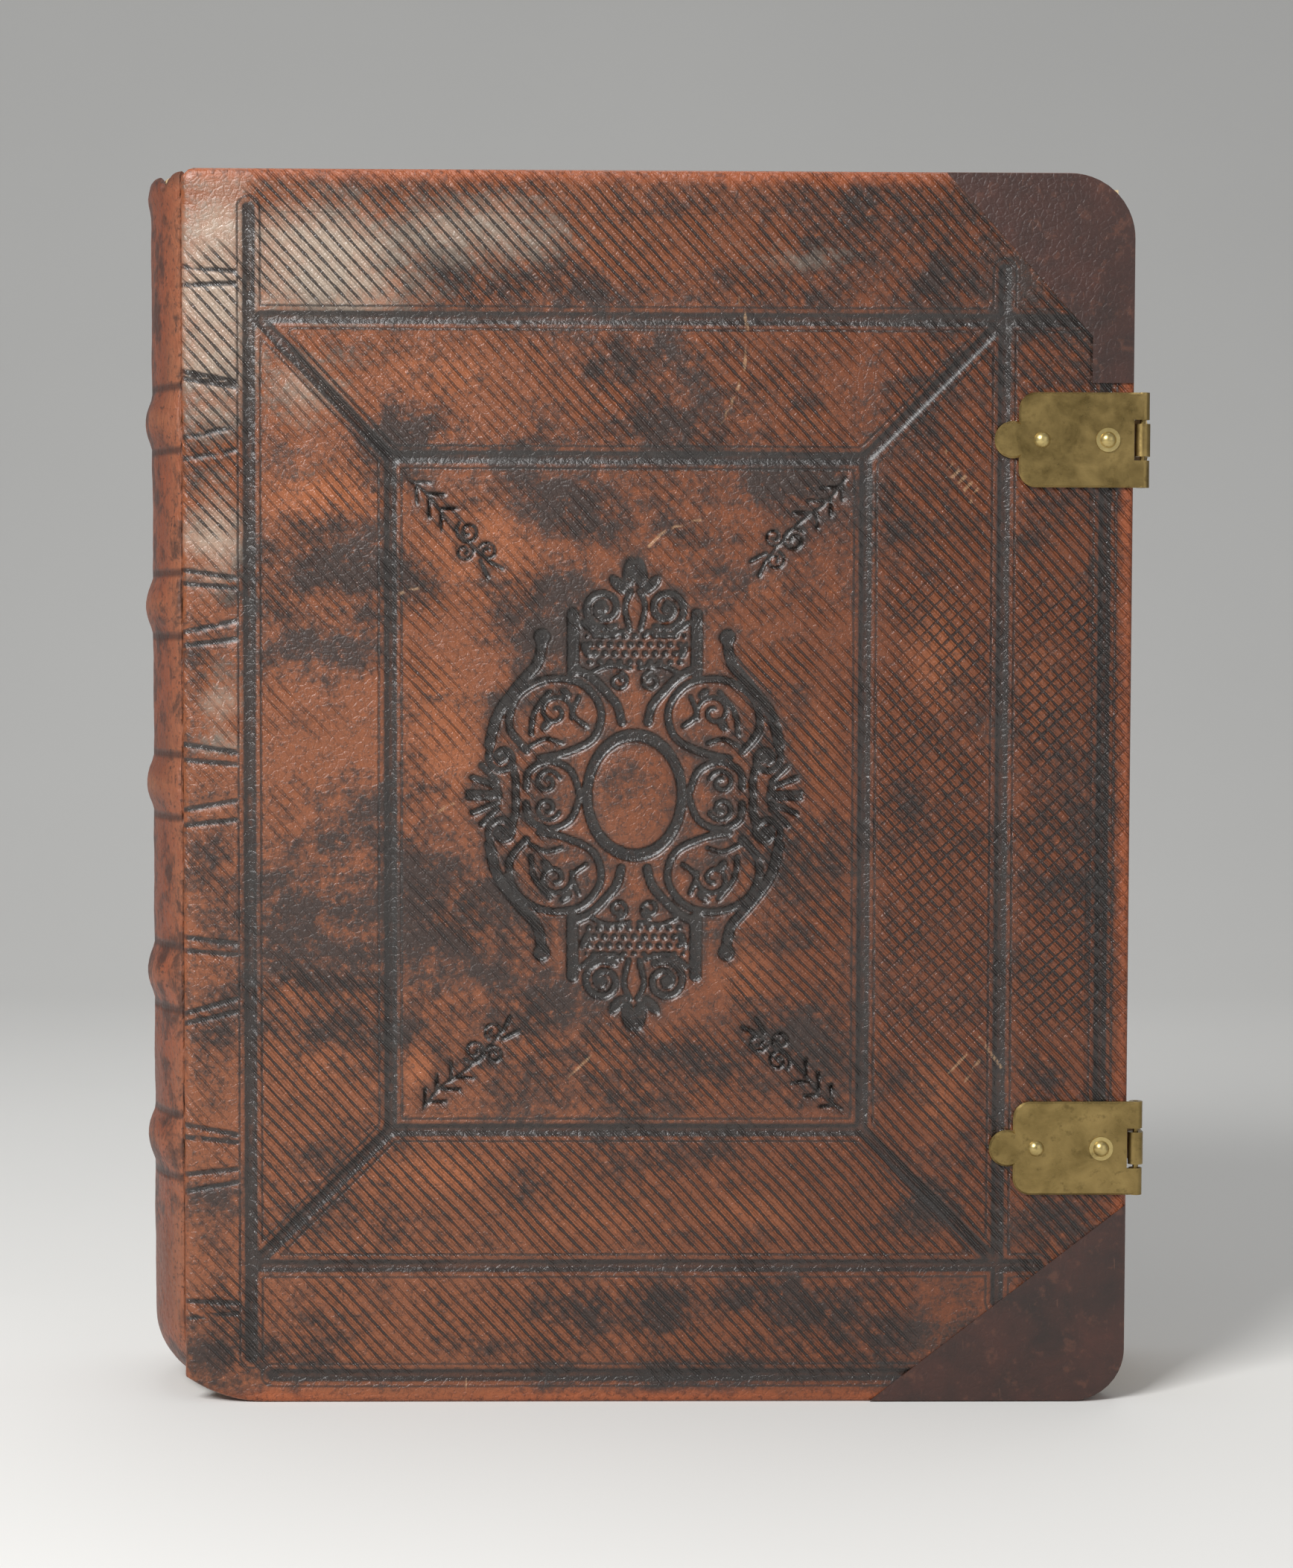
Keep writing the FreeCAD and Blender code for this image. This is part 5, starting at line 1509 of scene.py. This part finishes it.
@dataclass(frozen=True)
class SpineFinish:
    """Red-brown leather rubbed bare along the joints, with dark specks."""

    name: str = "spine_leather"
    base: Colour = tint(96, 52, 34)
    red: Colour = tint(132, 66, 38)
    dark: Colour = tint(46, 27, 21)
    pale: Colour = tint(178, 116, 80)

    def material(self) -> bpy.types.Material:
        """Build the material.

        Returns:
            The material.
        """
        graph = Graph(self.name)
        place = graph.position()
        large = graph.noise(place, 30.0, 4.0, 0.6, 0.4)
        middle = graph.noise(place, 7.0, 5.0, 0.68, 0.3)
        small = graph.noise(place, 1.3, 4.0, 0.7)
        fibre = graph.noise(graph.stretch(place, (1.0, 1.0, 0.2)), 1.6, 4.0, 0.65)
        band = graph.attribute("band")
        joint = graph.attribute("joint")
        head = graph.attribute("head")
        base = graph.mix((large * 1.8 - 0.4).clamp(), self.base, self.red)
        rubbed = joint.smooth(11.0, 1.0) * (middle * 1.7 - 0.3).clamp()
        rubbed = rubbed.math("MAXIMUM", band.smooth(4.5, 0.0) * (middle * 1.5 - 0.35).clamp())
        base = graph.mix(rubbed * 0.55, base, self.pale)
        dirt = (middle * 0.6 + large * 0.4 - 0.48).smooth(0.0, 0.12) * 0.8
        groove = (band - 8.2).math("ABSOLUTE").smooth(1.6, 0.3)
        base = graph.mix(dirt, base, self.dark)
        base = graph.mix(groove * 0.75, base, self.dark)
        base = graph.mix(head.smooth(6.0, 1.0) * 0.6, base, self.dark)
        base = graph.mix((small - 0.56).smooth(0.0, 0.08) * 0.7, base, self.dark)
        cracks = graph.cracks(graph.stretch(place, (1.0, 1.0, 0.55)), 2.4)
        height = middle * 0.35 + small * 0.2 + fibre * 0.12 - groove * 0.3
        height = height + cracks.smooth(0.0, 0.2) * 0.12
        rough = 0.5 + (small - 0.5) * 0.4 + rubbed * 0.12
        graph.surface(base, rough.clamp(), height, coat=0.12,
                      fixed={"Coat Roughness": 0.35})
        return graph.material


@dataclass(frozen=True)
class PatchFinish:
    """Plain dark brown leather of the corner patches."""

    name: str = "patch_leather"
    base: Colour = tint(66, 34, 25)
    dark: Colour = tint(34, 22, 18)
    rubbed: Colour = tint(124, 76, 54)

    def material(self) -> bpy.types.Material:
        """Build the material.

        Returns:
            The material.
        """
        graph = Graph(self.name)
        place = graph.position()
        large = graph.noise(place, 16.0, 4.0, 0.6, 0.4)
        middle = graph.noise(place, 4.0, 4.0, 0.65)
        small = graph.noise(place, 0.9, 3.0, 0.65)
        base = graph.mix((large * 2.2 - 0.6).clamp(), self.base, self.dark)
        base = graph.mix((middle - 0.55).smooth(0.0, 0.15) * 0.22, base, self.rubbed)
        base = graph.mix((small - 0.6).smooth(0.0, 0.1) * 0.1, base, self.rubbed)
        scuff = graph.noise(graph.stretch(place, (1.6, 1.0, 0.25)), 1.4, 3.0)
        base = graph.mix((scuff - 0.66).smooth(0.0, 0.06) * 0.16, base, tint(150, 104, 80))
        height = middle * 0.14 + small * 0.1 + graph.cracks(place, 1.8).smooth(0.0, 0.2) * 0.05
        graph.surface(base, (0.42 + (small - 0.5) * 0.3).clamp(), height, coat=0.25,
                      fixed={"Coat Roughness": 0.3})
        return graph.material


@dataclass(frozen=True)
class BrassFinish:
    """Aged brass, olive where it has dulled and bright where it is handled."""

    name: str
    dull: Colour
    bright: Colour
    dirt: Colour = tint(58, 46, 24)

    def material(self) -> bpy.types.Material:
        """Build the material.

        Returns:
            The material.
        """
        graph = Graph(self.name)
        place = graph.position()
        large = graph.noise(place, 9.0, 4.0, 0.6, 0.5)
        middle = graph.noise(place, 2.4, 4.0, 0.65)
        brush = graph.noise(graph.stretch(place, (0.3, 1.0, 1.6)), 0.8, 3.0, 0.7)
        base = graph.mix((large * 2.0 - 0.5).clamp(), self.dull, self.bright)
        base = graph.mix((middle - 0.54).smooth(0.0, 0.2) * 0.4, base, self.dirt)
        base = graph.mix((brush - 0.6).smooth(0.0, 0.1) * 0.3, base, self.bright)
        height = middle * 0.05 + brush * 0.025 + large * 0.08
        rough = 0.34 + (middle - 0.5) * 0.35 + (large - 0.5) * 0.25
        graph.surface(base, rough.clamp(), height, metal=0.9)
        return graph.material


@dataclass(frozen=True)
class PageFinish:
    """The edges of hundreds of aged leaves."""

    name: str = "page_edges"
    pale: Colour = tint(206, 184, 142)
    brown: Colour = tint(142, 108, 68)
    grime: Colour = tint(92, 68, 44)

    def material(self) -> bpy.types.Material:
        """Build the material.

        Returns:
            The material.
        """
        graph = Graph(self.name)
        place = graph.position()
        leaves = graph.noise(graph.stretch(place, (0.02, 1.0, 0.02)), 0.34, 2.0, 0.7)
        sections = graph.noise(graph.stretch(place, (0.012, 1.0, 0.012)), 2.6, 2.0, 0.6)
        clouds = graph.noise(place, 24.0, 5.0, 0.6)
        specks = graph.noise(place, 1.6, 3.0)
        base = graph.mix((sections * 1.7 - 0.35).clamp(), self.pale, self.brown)
        base = graph.mix((leaves - 0.46).smooth(0.0, 0.16) * 0.55, base, self.brown)
        base = graph.mix((clouds - 0.5).smooth(0.0, 0.25) * 0.5, base, self.brown)
        base = graph.mix((specks - 0.64).smooth(0.0, 0.06) * 0.5, base, self.grime)
        edges = leaves * 0.28 + sections * 0.45
        facing = graph.node("ShaderNodeTexCoord", output="Normal")
        _, sideways, _ = graph.parts(facing)
        leaf = sideways.math("ABSOLUTE").smooth(0.9, 0.99)
        fibre = graph.noise(place, 0.8, 3.0, 0.7)
        fox = graph.noise(place, 6.0, 4.0, 0.6)
        page = graph.mix((clouds * 1.6 - 0.5).clamp() * 0.5, tint(208, 190, 152), self.brown)
        page = graph.mix((fox - 0.62).smooth(0.0, 0.1) * 0.4, page, self.brown)
        base = graph.mix(leaf, base, page)
        height = edges * (1.0 - leaf) + fibre * 0.05
        graph.surface(base, 0.78, height)
        return graph.material


@dataclass(frozen=True)
class PaperFinish:
    """Laid paper, pasted down and foxed."""

    name: str = "pasted_paper"
    pale: Colour = tint(204, 186, 148)
    brown: Colour = tint(150, 116, 76)

    def material(self) -> bpy.types.Material:
        """Build the material.

        Returns:
            The material.
        """
        graph = Graph(self.name)
        place = graph.position()
        clouds = graph.noise(place, 34.0, 5.0, 0.6)
        fox = graph.noise(place, 5.0, 3.0, 0.6)
        laid = graph.noise(graph.stretch(place, (0.03, 1.0, 1.0)), 1.1, 1.0)
        fibre = graph.noise(place, 0.7, 3.0, 0.7)
        base = graph.mix((clouds * 1.8 - 0.5).clamp() * 0.6, self.pale, self.brown)
        base = graph.mix((fox - 0.63).smooth(0.0, 0.08) * 0.5, base, self.brown)
        base = graph.mix((laid - 0.5).smooth(0.0, 0.2) * 0.14, base, self.brown)
        graph.surface(base, 0.82, fibre * 0.06 + laid * 0.05)
        return graph.material


@dataclass(frozen=True)
class ThreadFinish:
    """Two colours of thread wound by turns."""

    name: str = "endband_thread"
    pale: Colour = tint(196, 176, 132)
    dark: Colour = tint(96, 52, 38)

    def material(self) -> bpy.types.Material:
        """Build the material.

        Returns:
            The material.
        """
        graph = Graph(self.name)
        place = graph.position()
        wound = graph.attribute("wound")
        colour = ((wound / 4.0).math("FRACT") - 0.5).math("GREATER_THAN", 0.0)
        dirt = graph.noise(place, 2.2, 4.0, 0.6)
        twist = ((wound * 6.2832).math("SINE") + 1.0) * 0.5
        base = graph.mix(colour, self.pale, self.dark)
        base = graph.mix((dirt - 0.45).smooth(0.0, 0.3) * 0.5, base, tint(88, 64, 44))
        graph.surface(base, 0.75, twist * 0.12 + dirt * 0.05)
        return graph.material


@dataclass(frozen=True)
class PlainFinish:
    """Wood or cord inside the binding: streaks along one direction."""

    name: str
    pale: Colour
    dark: Colour
    along: Colour
    size: float
    rough: float = 0.7

    def material(self) -> bpy.types.Material:
        """Build the material.

        Returns:
            The material.
        """
        graph = Graph(self.name)
        place = graph.position()
        grain = graph.noise(graph.stretch(place, self.along), self.size, 5.0, 0.65, 0.4)
        fine = graph.noise(graph.stretch(place, self.along), self.size / 5.0, 3.0, 0.6)
        base = graph.mix((grain * 2.2 - 0.6).clamp(), self.pale, self.dark)
        base = graph.mix((fine - 0.5).smooth(0.0, 0.2) * 0.4, base, self.dark)
        graph.surface(base, self.rough, grain * 0.12 + fine * 0.08)
        return graph.material


# The studio


@dataclass(frozen=True)
class Lamp:
    """A soft square lamp, its place and aim in metres."""

    name: str
    place: tuple[float, float, float]
    aim: tuple[float, float, float]
    size: float
    power: float

    def add(self) -> None:
        """Hang the lamp in the scene."""
        light = bpy.data.lights.new(self.name, "AREA")
        light.size = self.size
        light.energy = self.power
        lamp = bpy.data.objects.new(self.name, light)
        bpy.context.collection.objects.link(lamp)
        lamp.location = self.place
        away = Vector(self.aim) - Vector(self.place)
        lamp.rotation_euler = away.to_track_quat("-Z", "Y").to_euler()


@dataclass
class Studio:
    """Pale floor and backdrop, soft lamps and the camera."""

    camera_place: tuple[float, float, float] = (-17.5, -900.5, 206.1)
    yaw: float = 1.17
    pitch: float = -2.91
    roll: float = 0.18
    focal: float = 76.92
    sweep_radius: float = 0.16
    sweep_steps: int = 12
    wall_height: float = 4.0
    air_colour: tuple[float, float, float, float] = (0.95, 0.97, 1.0, 1.0)
    air_light: float = 0.27
    lamps: tuple[Lamp, ...] = (
        Lamp("key", (-0.62, -0.98, 0.95), (0.0, 0.0, 0.14), 0.5, 22.0),
        Lamp("fill", (0.9, -1.1, 0.55), (0.0, 0.0, 0.14), 1.1, 2.6),
        Lamp("top", (0.1, 0.35, 1.3), (0.0, 0.0, 0.2), 0.9, 4.5))

    def build(self) -> None:
        """Set up everything around the book."""
        self.add_camera()
        self.add_backdrop()
        for lamp in self.lamps:
            lamp.add()
        world = bpy.data.worlds.new("studio_air")
        world.use_nodes = True
        air = world.node_tree.nodes["Background"].inputs
        air[0].default_value = self.air_colour
        air[1].default_value = self.air_light
        bpy.context.scene.world = world
        bpy.context.scene.view_settings.view_transform = "Standard"

    def add_camera(self) -> None:
        """Place the camera where the photograph was taken from."""
        lens = bpy.data.cameras.new("camera")
        lens.lens = self.focal
        lens.sensor_width = 36.0
        lens.sensor_fit = "AUTO"
        lens.clip_end = 50.0
        camera = bpy.data.objects.new("camera", lens)
        bpy.context.collection.objects.link(camera)
        yaw, pitch, roll = (math.radians(angle) for angle in (self.yaw, self.pitch, self.roll))
        forward = Vector((math.sin(yaw) * math.cos(pitch), math.cos(yaw) * math.cos(pitch),
                          math.sin(pitch)))
        level = Vector((math.cos(yaw), -math.sin(yaw), 0.0))
        above = level.cross(forward)
        right = level * math.cos(roll) + above * math.sin(roll)
        upwards = above * math.cos(roll) - level * math.sin(roll)
        turned = Matrix((right, upwards, -forward)).transposed()
        camera.matrix_world = Matrix.Translation(Vector(self.camera_place) * MM) @ turned.to_4x4()
        bpy.context.scene.camera = camera

    def add_backdrop(self) -> None:
        """Sweep one pale surface from the floor up behind the book."""
        clear_selection()
        bpy.ops.mesh.primitive_plane_add(size=1.0, location=(0.0, 0.0, 0.0))
        floor = bpy.context.object
        floor.name = "floor"
        bpy.ops.object.mode_set(mode="EDIT")
        bpy.ops.mesh.select_all(action="SELECT")
        bpy.ops.transform.resize(value=(9.0, 5.0, 1.0))
        bpy.ops.transform.translate(value=(0.0, -1.6, 0.0))
        choose_edges(floor, lambda middle: middle.y > 0.8)
        for step in range(1, self.sweep_steps + 1):
            angle = math.radians(90.0 / self.sweep_steps * step)
            rise = self.sweep_radius * math.sin(angle)
            run = self.sweep_radius * math.cos(angle)
            bpy.ops.mesh.extrude_region_move(TRANSFORM_OT_translate={"value": (0.0, run, rise)})
        bpy.ops.mesh.extrude_region_move(TRANSFORM_OT_translate={"value": (0.0, 0.0, self.wall_height)})
        bpy.ops.object.mode_set(mode="OBJECT")
        bpy.ops.object.shade_smooth()
        graph = Graph("studio_floor")
        place = graph.position()
        clouds = graph.noise(place, 300.0, 2.0)
        white = graph.mix(clouds, tint(224, 223, 220), tint(218, 217, 214))
        graph.surface(white, 0.85)
        floor.data.materials.append(graph.material)


# The book


class Book:
    """The whole book: covers, spine, patches, bands and the nodes kept from the frame."""

    def build(self, nodes: dict[str, bpy.types.Object], subparts: list[dict[str, str]]) -> None:
        """Model and dress every piece.

        Args:
            nodes: the frame's nodes by name.
            subparts: the record's rows of nodes and their slots.
        """
        leather = CoverFinish().material()
        for cover in (CoverLeather(Side.FRONT, "front_cover", "front_leather"),
                      CoverLeather(Side.BACK, "back_cover", "back_leather")):
            skin, turn_in = cover.build()
            settle(skin, cover.body, "cover_leather", leather, cover.node)
            settle(turn_in, cover.body, "cover_leather", EdgeFinish().material(), cover.node)
        spine = SpineLeather().build()
        settle(spine, "text", "spine_leather", SpineFinish().material(), "spine_leather")
        self.add_patches()
        self.add_endbands()
        self.dress_nodes(nodes, subparts)

    @staticmethod
    def add_patches() -> None:
        """Add the two corner patches of the front cover."""
        finish = PatchFinish().material()
        upper = CornerPatch("upper_corner_skin", ((196.0, 319.7), (234.0, 278.0), (234.0, 266.0),
                                                 (244.7, 266.0), (244.7, 319.7)), 4, 16.7)
        lower = CornerPatch("lower_corner_skin", ((178.0, 0.3), (244.7, 0.3), (244.7, 52.0)), 1, 13.7)
        settle(upper.build(), "front_cover", "patch_leather", finish, "upper_corner_patch")
        settle(lower.build(), "front_cover", "patch_leather", finish, "lower_corner_patch")

    @staticmethod
    def add_endbands() -> None:
        """Add the wound bands at head and tail."""
        finish = ThreadFinish().material()
        head = EndBand("head_band_thread", "head_band", 48.6, 317.95, 2.8)
        tail = EndBand("tail_band_thread", "tail_band", 41.12, 3.78, 2.4)
        for band in (head, tail):
            settle(band.build(), "text", "endband_thread", finish, band.node)

    @staticmethod
    def dress_nodes(nodes: dict[str, bpy.types.Object], subparts: list[dict[str, str]]) -> None:
        """Give every node that is kept from the frame its finish.

        Args:
            nodes: the frame's nodes by name.
            subparts: the record's rows of nodes and their slots.
        """
        brass = BrassFinish("clasp_brass", tint(112, 94, 54), tint(166, 142, 90)).material()
        rivets = BrassFinish("rivet_brass", tint(166, 144, 88), tint(208, 188, 130)).material()
        pages = PageFinish().material()
        paper = PaperFinish().material()
        wood = PlainFinish("board_wood", tint(128, 92, 58), tint(84, 56, 34), (1.0, 1.0, 0.06), 3.0)
        cord = PlainFinish("hemp_cord", tint(170, 144, 100), tint(112, 88, 56), (1.0, 0.4, 1.0), 0.8)
        plain = {"board_wood": wood.material(), "hemp_cord": cord.material(), "clasp_brass": brass,
                 "rivet_brass": rivets, "pages": pages, "pasted_paper": paper}
        for row in subparts:
            node = nodes.get(row["node"])
            if node is None or row["material_slot"] not in plain:
                continue
            finish = plain[row["material_slot"]]
            for slot in node.material_slots:
                slot.material = finish
            if not node.material_slots:
                node.data.materials.append(finish)
            LOG.info("%s: dressed in %s", row["node"], finish.name)


def main() -> None:
    """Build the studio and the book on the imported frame."""
    logging.basicConfig(level=logging.INFO, format="%(name)s: %(message)s")
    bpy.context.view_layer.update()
    Studio().build()
    Book().build(frame["nodes"], frame["record"]["subparts"])
    clear_selection()


if __name__ == "__main__":
    main()
